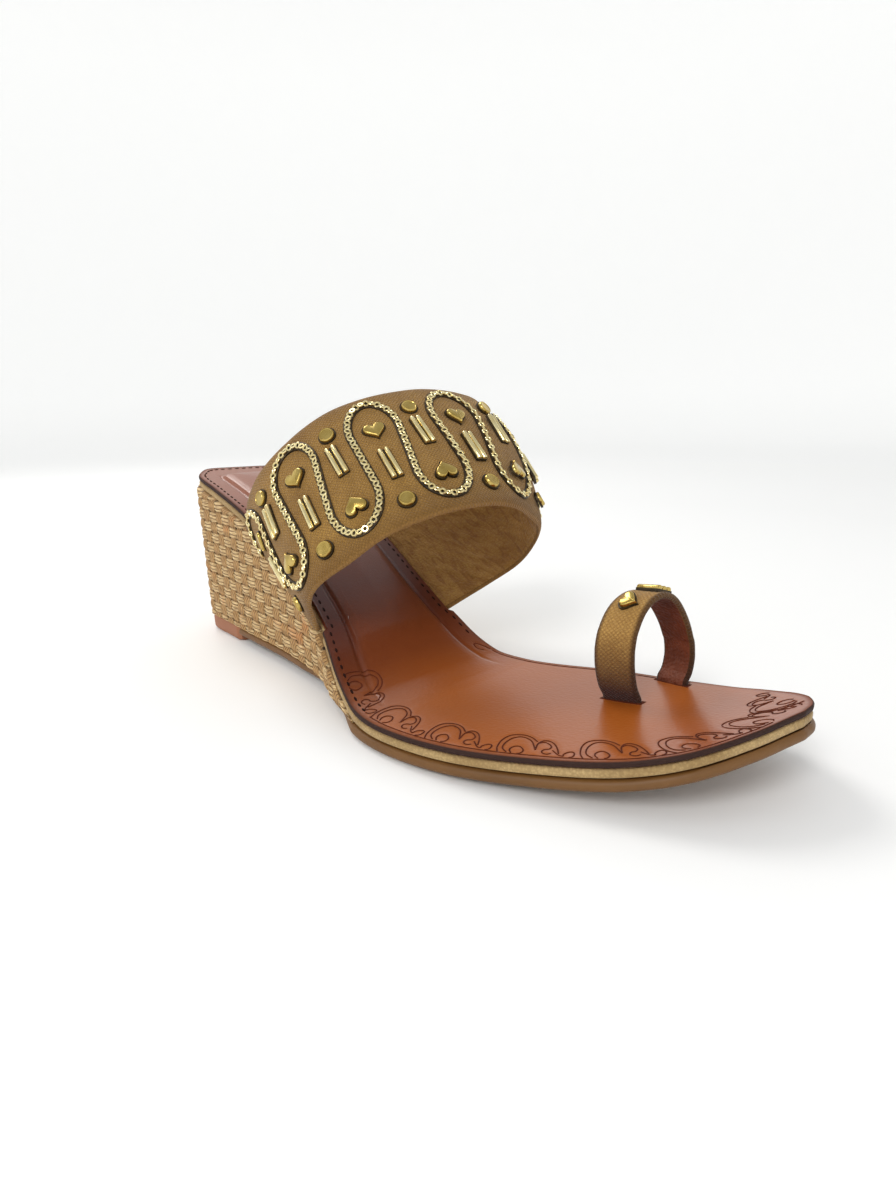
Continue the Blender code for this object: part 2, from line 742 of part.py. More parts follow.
def make_chain():
    """The laid chain as one plain cord with a flat back; scene.py draws its links."""
    route = chain_route()
    section = ((-0.5, 0.0), (-0.5, 0.45), (-0.25, 1.0), (0.25, 1.0), (0.5, 0.45), (0.5, 0.0))
    bm = bmesh.new()
    points = [clear_frame(*place, 2 * CHAIN_WIDTH) for place in route]
    rows = []
    for i, (origin, normal, _) in enumerate(points):
        ahead, behind = points[min(i + 1, len(points) - 1)][0], points[max(i - 1, 0)][0]
        side = np.cross(normal, ahead - behind)
        side /= np.linalg.norm(side)
        ring = []
        for across, up in section:
            spot = origin + side * across * CHAIN_WIDTH + normal * (SEAT + up * CHAIN_THICK)
            ring.append(bm.verts.new(spot))
        rows.append(ring)
    skin(bm, rows, closed=True)
    bmesh.ops.holes_fill(bm, edges=[e for e in bm.edges if e.is_boundary])
    return add_object("chain", bm, METAL)


def loop_frame(place):
    """Point, outward normal and direction along the girth, at the middle of the toe loop's width."""
    lines = [
        np.array([loop_point(across, up, depth) for across, up, _ in loop_route()])
        for depth in (0, 0.5, 1)
    ]
    girth = np.concatenate([[0], np.cumsum(np.linalg.norm(np.diff(lines[1], axis=0), axis=1))])

    def at(line, step):
        return np.array([np.interp(place * girth[-1] + step, girth, line[:, i]) for i in range(3)])

    along = at(lines[1], 0.002) - at(lines[1], -0.002)
    normal = np.cross(at(lines[2], 0) - at(lines[0], 0), along)
    return at(lines[1], 0), normal / np.linalg.norm(normal), along / np.linalg.norm(along)


def make_loop_trim():
    heart = plate(heart_outline(LOOP_HEART_WIDTH), METAL_THICK, 0.86)
    settle(heart, *loop_frame(LOOP_HEART_PLACE))
    add_object("toe_heart", heart, METAL)
    frame = loop_frame(LOOP_BARS_PLACE)
    bars = bar_set(3, LOOP_BAR_LENGTH, LOOP_BAR_PITCH)
    settle(bars, *frame)
    item = add_object("toe_bars", bars, METAL)
    make_ties(item, 3, LOOP_BAR_LENGTH, LOOP_BAR_PITCH, frame)


def place_in_frame():
    """Moves everything so that the origin is under the middle of the whole sandal's box."""
    bpy.context.view_layer.update()
    graph = bpy.context.evaluated_depsgraph_get()
    corners = []
    for item in SANDAL.objects:
        corners += [corner[:] for corner in item.evaluated_get(graph).bound_box]
    low, high = np.min(corners, axis=0), np.max(corners, axis=0)
    shift = Vector((-(low[0] + high[0]) / 2, -(low[1] + high[1]) / 2, -low[2]))
    for item in (*SANDAL.objects, *CUTTERS.objects):
        item.data.transform(Matrix.Translation(shift))


clear_scene()
SANDAL = bpy.data.collections.new("wedge_sandal")
CUTTERS = bpy.data.collections.new("cutters")
for collection in (SANDAL, CUTTERS):
    bpy.context.scene.collection.children.link(collection)
METAL = finish_material("trim metal", (0.72, 0.60, 0.32), 0.25, 1.0)
STRAP_DEPTH = float(np.linalg.norm(STRAP_EDGES[1] - STRAP_EDGES[0], axis=1).mean())
SEAT = CLEARANCE + 0.0001

make_outsole()
make_top_piece()
make_wedge()
make_midsole()
cut_slits(make_insole())
make_strap()
make_toe_loop()
make_chain()
make_trim()
make_loop_trim()
place_in_frame()
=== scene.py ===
import math

import bmesh
import bpy
import numpy as np
from mathutils import Matrix, Vector, kdtree
from mathutils.geometry import interpolate_bezier


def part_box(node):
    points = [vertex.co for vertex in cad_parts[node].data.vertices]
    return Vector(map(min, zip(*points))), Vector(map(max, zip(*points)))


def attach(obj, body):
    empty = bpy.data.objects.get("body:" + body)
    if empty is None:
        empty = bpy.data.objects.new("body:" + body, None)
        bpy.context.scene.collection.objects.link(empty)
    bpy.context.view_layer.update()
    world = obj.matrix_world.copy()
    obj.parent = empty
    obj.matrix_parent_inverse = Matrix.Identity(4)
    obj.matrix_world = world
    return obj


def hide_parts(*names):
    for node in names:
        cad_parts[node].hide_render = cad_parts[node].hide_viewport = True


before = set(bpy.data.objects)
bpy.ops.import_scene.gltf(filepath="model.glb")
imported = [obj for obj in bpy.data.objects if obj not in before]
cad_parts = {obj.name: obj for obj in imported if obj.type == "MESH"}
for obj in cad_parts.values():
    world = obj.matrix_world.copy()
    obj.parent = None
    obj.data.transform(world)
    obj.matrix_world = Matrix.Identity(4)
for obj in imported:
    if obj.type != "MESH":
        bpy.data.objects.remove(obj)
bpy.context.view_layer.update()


# The outsole: a sheet of tan rubber, moulded with a soft edge. It runs from the toe to the heel top piece
# and is glued under the midsole and, further back, under the wedge, where it lifts off the floor a little.
FOOT_LENGTH, BALL_WIDTH = 0.250, 0.0794
HEEL_RISE, TOE_SPRING = 0.0626, 0.016
CLEARANCE = 0.0003
INSOLE_THICK, MIDSOLE_THICK, OUTSOLE_THICK = 0.0018, 0.0025, 0.0034
OUTSOLE_STAND, WAIST_LIFT = 0.0009, 0.0028
TUCK, TUCK_ALONG = 0.0022, (0.36, 0.44, 0.52, 0.57)
TOP_PIECE_LENGTH, TOP_PIECE_SETBACK, TOP_PIECE_GAP = 0.032, 0.0026, 0.0016
RIBS = (
    # outer along, outer out, inner along, inner out
    (-0.006, 0.150, 0.000, 0.100), (-0.004, 0.216, 0.004, 0.186), (0.008, 0.266, 0.013, 0.262),
    (0.032, 0.314, 0.036, 0.312), (0.090, 0.325, 0.090, 0.330), (0.192, 0.341, 0.192, 0.343),
    (0.320, 0.357, 0.320, 0.310), (0.432, 0.407, 0.424, 0.276), (0.520, 0.505, 0.520, 0.276),
    (0.608, 0.569, 0.624, 0.339), (0.712, 0.526, 0.728, 0.466), (0.808, 0.412, 0.824, 0.503),
    (0.888, 0.293, 0.904, 0.495), (0.944, 0.170, 0.952, 0.430), (0.978, 0.006, 0.980, 0.352),
    (0.991, -0.105, 0.993, 0.282), (0.998, -0.168, 0.998, 0.232),
)
PROFILE = (
    # along, heel share, toe share
    (-0.01, 1.01, 0.0), (0.10, 0.90, 0.0), (0.20, 0.785, 0.0), (0.30, 0.588, 0.0), (0.40, 0.372, 0.0),
    (0.48, 0.185, 0.0), (0.56, 0.020, 0.0), (0.62, 0.0, 0.0), (0.70, 0.0, 0.03), (0.80, 0.0, 0.145),
    (0.90, 0.0, 0.395), (1.01, 0.0, 1.05),
)
WAIST = (
    # along, share of the lift
    (0.0, 1.0), (0.30, 1.0), (0.40, 0.85), (0.48, 0.50), (0.56, 0.0), (1.01, 0.0),
)
RIM_STEPS, HEEL_STEPS, SOLE_STEPS = 1200, 40, 300
WELD, SOLE_WELD, SLIVER, SHARP_ANGLE = 1e-8, 2e-6, 1e-7, math.radians(38)


def smooth(points, steps):
    """A curve through the points, with this many steps between each two."""
    points = [Vector(point) for point in points]
    last = len(points) - 1
    directions = []
    for i in range(last + 1):
        ahead, behind = points[min(i + 1, last)], points[max(i - 1, 0)]
        directions.append((ahead - behind).normalized())
    curve = [points[0]]
    for start, end, leaving, arriving in zip(points, points[1:], directions, directions[1:]):
        reach = (end - start).length / 3
        leave, arrive = start + leaving * reach, end - arriving * reach
        curve += interpolate_bezier(start, leave, arrive, end, steps + 1)[1:]
    return np.array([point[:] for point in curve])


def sampled(rows, column):
    """One column of a table by its first column, as a smooth line that never falls below 0."""
    curve = smooth([(row[0], row[column], 0) for row in rows], steps=12)
    return lambda along: np.maximum(np.interp(along, curve[:, 0], curve[:, 1]), 0.0)


heel_share, toe_share, waist_share = sampled(PROFILE, 1), sampled(PROFILE, 2), sampled(WAIST, 1)


def lengths_of(line):
    """How far along the line each of its points is."""
    return np.concatenate([[0], np.cumsum(np.linalg.norm(np.diff(line, axis=0), axis=1))])


def rim_line(columns, sign):
    """One side of the sole's outline, through the ends of its ribs from heel to toe."""
    ends = [(row[columns] * FOOT_LENGTH, sign * row[columns + 1] * BALL_WIDTH, 0) for row in RIBS]
    return smooth(ends, steps=10)[:, :2]


OUTER, INNER = rim_line(0, -1), rim_line(2, 1)
TOE_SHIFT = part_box("insole")[1][0] - max(OUTER[:, 0].max(), INNER[:, 0].max())
SIDE_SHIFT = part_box("insole")[1][1] - INNER[:, 1].max()
RIM, INWARD, RIM_LENGTH = {}, {}, {}
for side, line, turn in (("outer", OUTER, 1), ("inner", INNER, -1)):
    heel, toe = (OUTER[0] + INNER[0]) / 2, (OUTER[-1] + INNER[-1]) / 2
    line = np.vstack([[heel], line, [toe]])
    reach = lengths_of(line)
    even = np.linspace(0, reach[-1], RIM_STEPS + 1)
    line = np.stack([np.interp(even, reach, line[:, i]) for i in (0, 1)], axis=1)
    run = np.gradient(line, axis=0)
    across = np.stack([-run[:, 1], run[:, 0]], axis=1) * turn
    RIM[side], RIM_LENGTH[side] = line, reach[-1]
    INWARD[side] = across / np.linalg.norm(across, axis=1, keepdims=True)
SHARES = np.linspace(0, 1, RIM_STEPS + 1)


def rim(side, share, inset=0.0):
    """Points of the outline at shares of one side's length, moved inwards, in the sole's own place."""
    point = np.stack([np.interp(share, SHARES, RIM[side][:, i]) for i in (0, 1)], axis=-1)
    inward = np.stack([np.interp(share, SHARES, INWARD[side][:, i]) for i in (0, 1)], axis=-1)
    return point + np.asarray(inset)[..., None] * inward


def share_at(side, x):
    """The share of a side's length at x, where the outline has left the turn of the heel."""
    return float(np.interp(x, RIM[side][HEEL_STEPS:, 0], SHARES[HEEL_STEPS:]))


def footbed(x):
    """Height of the insole's top above the floor."""
    along = x / FOOT_LENGTH
    stack = INSOLE_THICK + MIDSOLE_THICK + OUTSOLE_THICK + 2 * CLEARANCE
    return stack + HEEL_RISE * heel_share(along) + TOE_SPRING * toe_share(along)


def seam(x):
    """Height of the midsole's underside, where wedge and outsole meet it."""
    return footbed(x) - INSOLE_THICK - CLEARANCE - MIDSOLE_THICK


def outsole_under(x):
    return WAIST_LIFT * waist_share(x / FOOT_LENGTH) + TOE_SPRING * toe_share(x / FOOT_LENGTH)


def outsole_over(x):
    return np.minimum(outsole_under(x) + OUTSOLE_THICK, seam(x) - CLEARANCE)


def skin(bm, rows, closed):
    """Faces between each row of points and the next, round and round where the rows are closed."""
    for first, second in zip(rows, rows[1:]):
        count = len(first)
        for i in range(count if closed else count - 1):
            j = (i + 1) % count
            bm.faces.new((first[i], first[j], second[j], second[i]))


def sole_layer(name, rows, start=None, stop=None, steps=SOLE_STEPS, notch=None, crossing=None):
    """A layer of the sole: its outline raised through rows of (inset, height), and closed above and below.

    Each row is a function of the length along the foot and of the way round the edge from the heel. A notch
    draws the edge in, and a crossing makes the upper face where that isn't plain.
    """
    bm = bmesh.new()
    lie = bm.loops.layers.uv.new("lie")
    places, rings, pairs = {}, [], []
    for row in rows:
        halves = []
        for side, sign in (("outer", -1), ("inner", 1)):
            first = 0.0 if start is None else share_at(side, start)
            last = 1.0 if stop is None else share_at(side, stop)
            share = np.linspace(first, last, steps + 1)
            x, around = rim(side, share)[:, 0], sign * share * RIM_LENGTH[side]
            inset, height = row(x, around)
            if notch is not None:
                inset = inset + notch(side, x)
            spot = rim(side, share, inset)
            half = []
            for (px, py), pz, turn in zip(spot, height + 0 * x, around):
                vert = bm.verts.new((px, py, pz))
                places[vert] = (turn, pz)
                half.append(vert)
            halves.append(half)
        pairs.append(halves)
        rings.append(halves[0] + halves[1][::-1])
    skin(bm, rings, closed=True)
    skin(bm, list(zip(*pairs[0])), closed=False)
    if crossing is None:
        skin(bm, list(zip(*pairs[-1])), closed=False)
    else:
        crossing(bm, pairs[-1], places)
    for face in bm.faces:
        for loop in face.loops:
            loop[lie].uv = places[loop.vert]
    return piece(name, bm, merge=SOLE_WELD)


def piece(name, bm, merge=WELD):
    """The mesh as an object in the part's frame, smooth but for its sharp edges, riding on the sandal."""
    bmesh.ops.remove_doubles(bm, verts=bm.verts, dist=merge)
    bmesh.ops.dissolve_degenerate(bm, edges=bm.edges, dist=SLIVER)
    bmesh.ops.translate(bm, vec=(TOE_SHIFT, SIDE_SHIFT, 0), verts=bm.verts)
    bmesh.ops.recalc_face_normals(bm, faces=bm.faces)
    mesh = bpy.data.meshes.new(name)
    bm.to_mesh(mesh)
    bm.free()
    mesh.shade_smooth()
    mesh.set_sharp_from_angle(angle=SHARP_ANGLE)
    item = bpy.data.objects.new(name, mesh)
    bpy.context.collection.objects.link(item)
    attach(item, "root")
    return item


def dyed(red, green, blue):
    """A colour as seen on a screen, 0 to 255, as the linear values that a shader takes."""
    values = [c / 255 / 12.92 if c <= 10 else ((c / 255 + 0.055) / 1.055) ** 2.4 for c in (red, green, blue)]
    return (*values, 1.0)


def node(tree, kind, links=None, **settings):
    """A shader node with its settings. Each input is linked to a socket or set to a value."""
    made = tree.nodes.new("ShaderNode" + kind)
    for key, value in settings.items():
        setattr(made, key, value)
    for key, value in (links or {}).items():
        if isinstance(value, bpy.types.NodeSocket):
            tree.links.new(value, made.inputs[key])
        else:
            made.inputs[key].default_value = value
    return made


def mixed(tree, share, first, second, how="MIX"):
    """The colour between two, by a share."""
    return node(tree, "Mix", {0: share, 6: first, 7: second}, data_type="RGBA", blend_type=how).outputs[2]


def spread(tree, value, low, high, to_low=0.0, to_high=1.0):
    """A value brought from one range to another and held inside it."""
    limits = {"Value": value, "From Min": low, "From Max": high, "To Min": to_low, "To Max": to_high}
    return node(tree, "MapRange", limits).outputs[0]


def sum_of(tree, first, second, how="ADD"):
    """Two values put together, as a sum unless it says how."""
    return node(tree, "Math", {0: first, 1: second}, operation=how).outputs[0]


def material_for(name, roughness, metallic=0.0, **sockets):
    """A material with its shader and Object coordinates ready to be used."""
    material = bpy.data.materials.new(name)
    material.use_nodes = True
    tree = material.node_tree
    shader = tree.nodes["Principled BSDF"]
    shader.inputs["Roughness"].default_value = roughness
    shader.inputs["Metallic"].default_value = metallic
    for key, value in sockets.items():
        shader.inputs[key.replace("_", " ")].default_value = value
    return material, tree, shader, node(tree, "TexCoord").outputs["Object"]


def bumped(tree, shader, height, strength, distance):
    """Gives the material a relief by this height, at most this distance deep."""
    bump = node(tree, "Bump", {"Height": height, "Strength": strength, "Distance": distance})
    tree.links.new(bump.outputs[0], shader.inputs["Normal"])


def grain_group():
    """Grain of leather and rubber: cells, and soft clouds of colour over them, at sizes given per metre."""
    tree = bpy.data.node_groups.new("grain", "ShaderNodeTree")
    wanted = (("Place", "NodeSocketVector"), ("Cells", "NodeSocketFloat"), ("Clouds", "NodeSocketFloat"))
    for name, kind in wanted:
        tree.interface.new_socket(name=name, in_out="INPUT", socket_type=kind)
    for name in ("Height", "Tone"):
        tree.interface.new_socket(name=name, in_out="OUTPUT", socket_type="NodeSocketFloat")
    given, put = tree.nodes.new("NodeGroupInput"), tree.nodes.new("NodeGroupOutput")
    cells = node(tree, "TexVoronoi", {"Vector": given.outputs[0], "Scale": given.outputs[1]}, feature="F1")
    fine = node(tree, "TexNoise", {"Vector": given.outputs[0], "Scale": given.outputs[1], "Detail": 4.0})
    clouds = node(tree, "TexNoise", {"Vector": given.outputs[0], "Scale": given.outputs[2], "Detail": 5.0})
    height = sum_of(tree, cells.outputs["Distance"], fine.outputs[0])
    tree.links.new(height, put.inputs[0])
    tree.links.new(spread(tree, clouds.outputs[0], 0.3, 0.7), put.inputs[1])
    return tree


GRAIN = grain_group()


def grained(tree, place, cells, clouds):
    """The grain's height and tone, with so many cells and clouds to a metre."""
    made = tree.nodes.new("ShaderNodeGroup")
    made.node_tree = GRAIN
    tree.links.new(place, made.inputs["Place"])
    made.inputs["Cells"].default_value = cells
    made.inputs["Clouds"].default_value = clouds
    return made.outputs["Height"], made.outputs["Tone"]


def rubber(name, colour, wear_and_rim_highlight, roughness):
    """Moulded rubber: even, a little cloudy, with a fine matt skin."""
    material, tree, shader, place = material_for(name, roughness, Specular_IOR_Level=0.4)
    height, tone = grained(tree, place, cells=1500.0, clouds=40.0)
    tree.links.new(mixed(tree, tone, colour, wear_and_rim_highlight), shader.inputs["Base Color"])
    bumped(tree, shader, height, strength=0.12, distance=0.0002)
    return material


def tucked(side, x):
    """Under the waist the outsole draws in beneath the wedge's end."""
    return np.interp(x / FOOT_LENGTH, TUCK_ALONG, [0.0, TUCK, TUCK, 0.0])


def outsole_row(inset, share):
    return lambda x, around: (
        inset - OUTSOLE_STAND + 0 * x,
        outsole_under(x) + share * (outsole_over(x) - outsole_under(x)),
    )


OUTSOLE_EDGE = (
    # inset, share of the thickness
    (0.0024, 0.0), (0.0015, 0.03), (0.0008, 0.12), (0.0003, 0.26), (0.0, 0.45), (0.0, 0.62),
    (0.0002, 0.80), (0.0005, 0.92), (0.0011, 1.0),
)
outsole = sole_layer(
    "outsole_moulded", [outsole_row(*row) for row in OUTSOLE_EDGE],
    start=TOP_PIECE_SETBACK + TOP_PIECE_LENGTH + TOP_PIECE_GAP, notch=tucked,
)
outsole.data.materials.append(rubber("tan rubber", dyed(118, 80, 36), dyed(100, 66, 28), 0.5))
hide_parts("outsole")


# The heel top piece: a pad of pinkish rubber under the back of the wedge, which takes the wear.
# It is cut square at its front, with small round corners, and glued on.
WEDGE_LEAN, LEAN_KEPT, WEDGE_STAND = 0.0022, 0.15, 0.0007
REAR_CORNERS = ((-0.002, 0.0022), (0.004, 0.0))  # along from the rear end, inwards
FRONT_CORNERS = ((-0.002, 0.0), (0.0, 0.0012))  # along from the front end, inwards


def top_piece_row(inset, share):
    lean = WEDGE_LEAN * LEAN_KEPT - WEDGE_STAND
    return lambda x, around: (lean + inset + 0 * x, share * (WAIST_LIFT + OUTSOLE_THICK) + 0 * x)


def drawn_in(side, x):
    """The pad's corners: it draws in towards both its ends."""
    ends = ((TOP_PIECE_SETBACK, REAR_CORNERS), (TOP_PIECE_SETBACK + TOP_PIECE_LENGTH, FRONT_CORNERS))
    along, inwards = zip(*[(end + step, depth) for end, corners in ends for step, depth in corners])
    return np.interp(x, along, inwards)


TOP_PIECE_EDGE = (
    # inset, share of the thickness
    (0.0012, 0.0), (0.0005, 0.05), (0.0001, 0.16), (0.0, 0.5), (0.0, 0.85), (0.0003, 1.0),
)
top_piece = sole_layer(
    "heel_top_piece_cut", [top_piece_row(*row) for row in TOP_PIECE_EDGE],
    stop=TOP_PIECE_SETBACK + TOP_PIECE_LENGTH, steps=120, notch=drawn_in,
)
top_piece.data.materials.append(rubber("pink rubber", dyed(162, 108, 78), dyed(150, 98, 70), 0.62))
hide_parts("heel_top_piece")


# The wedge: a block of light foam wrapped in woven straw, bundles of flat strands laid over and under
# each other in a basket weave. The wrap is glued on before the wedge is fixed under the midsole.
WEAVE_WIDE, WEAVE_HIGH = 0.0064, 0.0046
WARP_STRANDS, WEFT_STRANDS = 4, 3
BUNDLE_RISE, BUNDLE_SWAY = 0.00055, 0.00050
BUNDLE_HALF, BUNDLE_ROUND, STRAND_SHARE = 0.43, 0.46, 0.40
LEAN_RUN, WRAP_ROWS, WRAP_EDGE, WRAP_FULL, WRAP_SUNK = 0.03, 146, 0.0006, 0.009, 0.0004


def bundle(off, level, strands):
    """Height of a bundle of strands at a share off its middle, and the gap's depth beside it."""
    roundness = np.sqrt(np.clip(1 - (off / BUNDLE_ROUND) ** 2, 0, 1))
    strand = np.abs(np.sin(math.pi * (off + 0.5) * strands))
    rise = BUNDLE_RISE * ((1 - STRAND_SHARE) * roundness + STRAND_SHARE * strand)
    return np.where(np.abs(off) < BUNDLE_HALF, level + rise, -BUNDLE_SWAY)


def weave(around, up):
    """The straw's height over the wedge, and 1 where the strands on top run along the sole."""
    column, row = np.floor(around / WEAVE_WIDE), np.floor(up / WEAVE_HIGH)
    wander = 0.03 * np.sin(7.3 * column + 3.1 * row) + 0.02 * np.sin(2.1 * row * column)
    along = np.sin(math.pi * around / WEAVE_WIDE) * np.where(row % 2 == 0, 1, -1)
    upward = -np.sin(math.pi * up / WEAVE_HIGH) * np.where(column % 2 == 0, 1, -1)
    weft = bundle(up / WEAVE_HIGH - row - 0.5 + wander, BUNDLE_SWAY * along, WEFT_STRANDS)
    warp = bundle(around / WEAVE_WIDE - column - 0.5 + wander, BUNDLE_SWAY * upward, WARP_STRANDS)
    return np.maximum(weft, warp), (weft > warp).astype(float)


def wedge_end():
    """Where the wedge has run out to an edge between midsole and outsole."""
    lengths = np.linspace(0.4, 0.6, 400) * FOOT_LENGTH
    room = seam(lengths) - outsole_under(lengths) - OUTSOLE_THICK
    return float(lengths[np.argmax(room < 4 * CLEARANCE)])


def wedge_row(share):
    """A ring of the wrap at this share of the way down from the seam."""
    foot = WAIST_LIFT + OUTSOLE_THICK + CLEARANCE

    def row(x, around):
        high = seam(x) - CLEARANCE
        low = np.minimum(foot, outsole_over(x) + CLEARANCE)
        height = high + (low - high) * share
        lean = WEDGE_LEAN * share * np.interp(x, [0, LEAN_RUN * FOOT_LENGTH], [1.0, LEAN_KEPT])
        fade = np.clip(np.minimum(high - height, height - low) / WRAP_EDGE, 0, 1)
        fade = fade * np.clip((high - low) / WRAP_FULL, 0.1, 1)
        return lean - WEDGE_STAND - fade * weave(around, height)[0] + (1 - fade) * WRAP_SUNK, height

    return row


wrap_rows = [wedge_row(share) for share in np.linspace(1, 0, WRAP_ROWS)]
wedge = sole_layer("wedge_woven", wrap_rows, stop=wedge_end())

straw, tree, shader, place = material_for("woven straw", 0.62, Specular_IOR_Level=0.35)
lie = node(tree, "UVMap", uv_map="lie").outputs[0]
part = node(tree, "SeparateXYZ", {0: lie})


def strands(value, length, count):
    """0 between two strands of a bundle and 1 on top of one."""
    turns = sum_of(tree, value, math.pi * count / length, "MULTIPLY")
    wave = node(tree, "Math", {0: turns}, operation="SINE").outputs[0]
    return node(tree, "Math", {0: wave}, operation="ABSOLUTE").outputs[0]


weft = spread(tree, node(tree, "Attribute", attribute_name="weft").outputs["Fac"], 0.4, 0.6)
rise = node(tree, "Attribute", attribute_name="rise").outputs["Fac"]
slanted = sum_of(tree, part.outputs[0], sum_of(tree, part.outputs[1], 0.5, "MULTIPLY"))
warp_strand = strands(slanted, WEAVE_WIDE, WARP_STRANDS)
strand = mixed(tree, weft, warp_strand, strands(part.outputs[1], WEAVE_HIGH, WEFT_STRANDS))
fibres = []
for stretch in ((260.0, 2600.0, 1.0), (2600.0, 260.0, 1.0)):
    scaled = node(tree, "Mapping", {"Vector": lie, "Scale": stretch}).outputs[0]
    fibres.append(node(tree, "TexNoise", {"Vector": scaled, "Scale": 1.0, "Detail": 3.0}).outputs[0])
fibre = mixed(tree, weft, fibres[1], fibres[0])
clouds = node(tree, "TexNoise", {"Vector": place, "Scale": 90.0, "Detail": 4.0}).outputs[0]
light = mixed(tree, weft, dyed(196, 156, 102), dyed(234, 206, 154))
gold = mixed(tree, spread(tree, fibre, 0.35, 0.65), dyed(152, 114, 66), light)
gold = mixed(tree, spread(tree, clouds, 0.60, 0.70, 0.0, 0.45), gold, dyed(196, 122, 62))
# Painted shade: the straw is darker in the grooves between strands, and darker still in the low hollows of
# the weave.
gold = mixed(tree, spread(tree, strand, 0.05, 0.6), dyed(104, 70, 34), gold)
gold = mixed(tree, spread(tree, rise, 0.32, 0.72), dyed(60, 38, 18), gold)
tree.links.new(gold, shader.inputs["Base Color"])
bumped(tree, shader, sum_of(tree, fibre, strand), strength=0.6, distance=0.0004)
wedge.data.materials.append(straw)


def paint(item, **values):
    """Writes values worked out for each vertex onto the mesh, for its material to read."""
    for name, value in values.items():
        layer = item.data.attributes.new(name=name, type="FLOAT", domain="POINT")
        layer.data.foreach_set("value", np.asarray(value, dtype=np.float32))


def spots_of(item):
    """The places of a piece's vertices, from the middle of the heel."""
    spots = np.empty(3 * len(item.data.vertices), dtype=np.float32)
    item.data.vertices.foreach_get("co", spots)
    return spots.reshape(-1, 3) - np.array([TOE_SHIFT, SIDE_SHIFT, 0])


def way_round(item):
    """Each vertex's way round the edge, as its corners' flat layout has it."""
    corners = np.empty(len(item.data.loops), dtype=np.int32)
    item.data.loops.foreach_get("vertex_index", corners)
    flat = np.empty(2 * len(corners), dtype=np.float32)
    item.data.uv_layers["lie"].data.foreach_get("uv", flat)
    around = np.zeros(len(item.data.vertices))
    around[corners] = flat[0::2]
    return around


# The rise is kept for the painted shade in the weave's hollows, and the weft marks which strands lie on top.
straw_rise, straw_weft = weave(way_round(wedge), spots_of(wedge)[:, 2])
paint(wedge, rise=(straw_rise + BUNDLE_SWAY) / (2 * BUNDLE_SWAY + BUNDLE_RISE), weft=straw_weft)
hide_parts("wedge_heel")


# The midsole: a board the length of the foot, its edge wrapped in beige nubuck with a slight sparkle.
# It is notched where the strap's ends are lasted in, and glued on the wedge and the outsole.
STRAP_WALL, STRAP_STAND, STRAP_NOTCH_RUN, NOTCH_SLACK = 0.0023, 0.0010, 0.0040, 0.0001
STRAP_OUTER_BASE, STRAP_INNER_BASE = (0.212, 0.432), (0.240, 0.456)


def strap_notch(side, x):
    """How far the edge draws in beside an end of the strap."""
    start, stop = STRAP_OUTER_BASE if side == "outer" else STRAP_INNER_BASE
    start, stop = start * FOOT_LENGTH, stop * FOOT_LENGTH + STRAP_NOTCH_RUN
    depth, ramp = STRAP_WALL - STRAP_STAND + NOTCH_SLACK, 2 * CLEARANCE
    return np.interp(x, [start - 2 * ramp, start - ramp, stop, stop + ramp], [0, depth, depth, 0])


def midsole_row(inset, share):
    return lambda x, around: (inset + 0 * x, seam(x) + share * MIDSOLE_THICK)


def net_group():
    """The net pressed into the nubuck: small diamonds, 1 on their tops and 0 in the grooves between."""
    tree = bpy.data.node_groups.new("net", "ShaderNodeTree")
    for name, kind in (("Lie", "NodeSocketVector"), ("Per Metre", "NodeSocketFloat")):
        tree.interface.new_socket(name=name, in_out="INPUT", socket_type=kind)
    tree.interface.new_socket(name="Tops", in_out="OUTPUT", socket_type="NodeSocketFloat")
    given, put = tree.nodes.new("NodeGroupInput"), tree.nodes.new("NodeGroupOutput")
    stray = node(tree, "TexNoise", {"Vector": given.outputs[0], "Scale": 400.0, "Detail": 2.0})
    strays = {0: stray.outputs["Color"], 1: (0.0006, 0.0006, 0.0)}
    moved = node(tree, "VectorMath", strays, operation="MULTIPLY").outputs[0]
    moved = node(tree, "VectorMath", {0: given.outputs[0], 1: moved}, operation="ADD").outputs[0]
    turned = node(tree, "Mapping", {"Vector": moved, "Rotation": (0, 0, math.pi / 4)}).outputs[0]
    part = node(tree, "SeparateXYZ", {0: turned})
    waves = []
    for i in (0, 1):
        turns = sum_of(tree, part.outputs[i], given.outputs[1], "MULTIPLY")
        turns = sum_of(tree, turns, math.pi, "MULTIPLY")
        wave = node(tree, "Math", {0: turns}, operation="SINE").outputs[0]
        waves.append(node(tree, "Math", {0: wave}, operation="ABSOLUTE").outputs[0])
    tree.links.new(sum_of(tree, *waves, "MULTIPLY"), put.inputs[0])
    return tree


NET = net_group()


def nubuck(name, colour, light, dark, nap=1400.0, net=0.0):
    """Nubuck: a short nap with a fine grain, lighter where brushed and darker in the grooves of its net."""
    material, tree, shader, place = material_for(name, 0.88, Sheen_Weight=0.15, Sheen_Roughness=0.5)
    shader.inputs["Specular IOR Level"].default_value = 0.25
    height, tone = grained(tree, place, nap, 70.0)
    shade = mixed(tree, tone, dark, light)
    shade = mixed(tree, 0.6, shade, colour)
    shade = mixed(tree, spread(tree, height, 0.72, 1.12, 0.0, 0.3), shade, dark)
    if net:
        made = tree.nodes.new("ShaderNodeGroup")
        made.node_tree = NET
        tree.links.new(node(tree, "UVMap", uv_map="lie").outputs[0], made.inputs["Lie"])
        made.inputs["Per Metre"].default_value = net
        tops = made.outputs["Tops"]
        shade = mixed(tree, spread(tree, tops, 0.0, 0.5, 0.45, 0.0), shade, dark)
        height = sum_of(tree, height, sum_of(tree, tops, 1.2, "MULTIPLY"))
    return material, tree, shader, place, shade, height


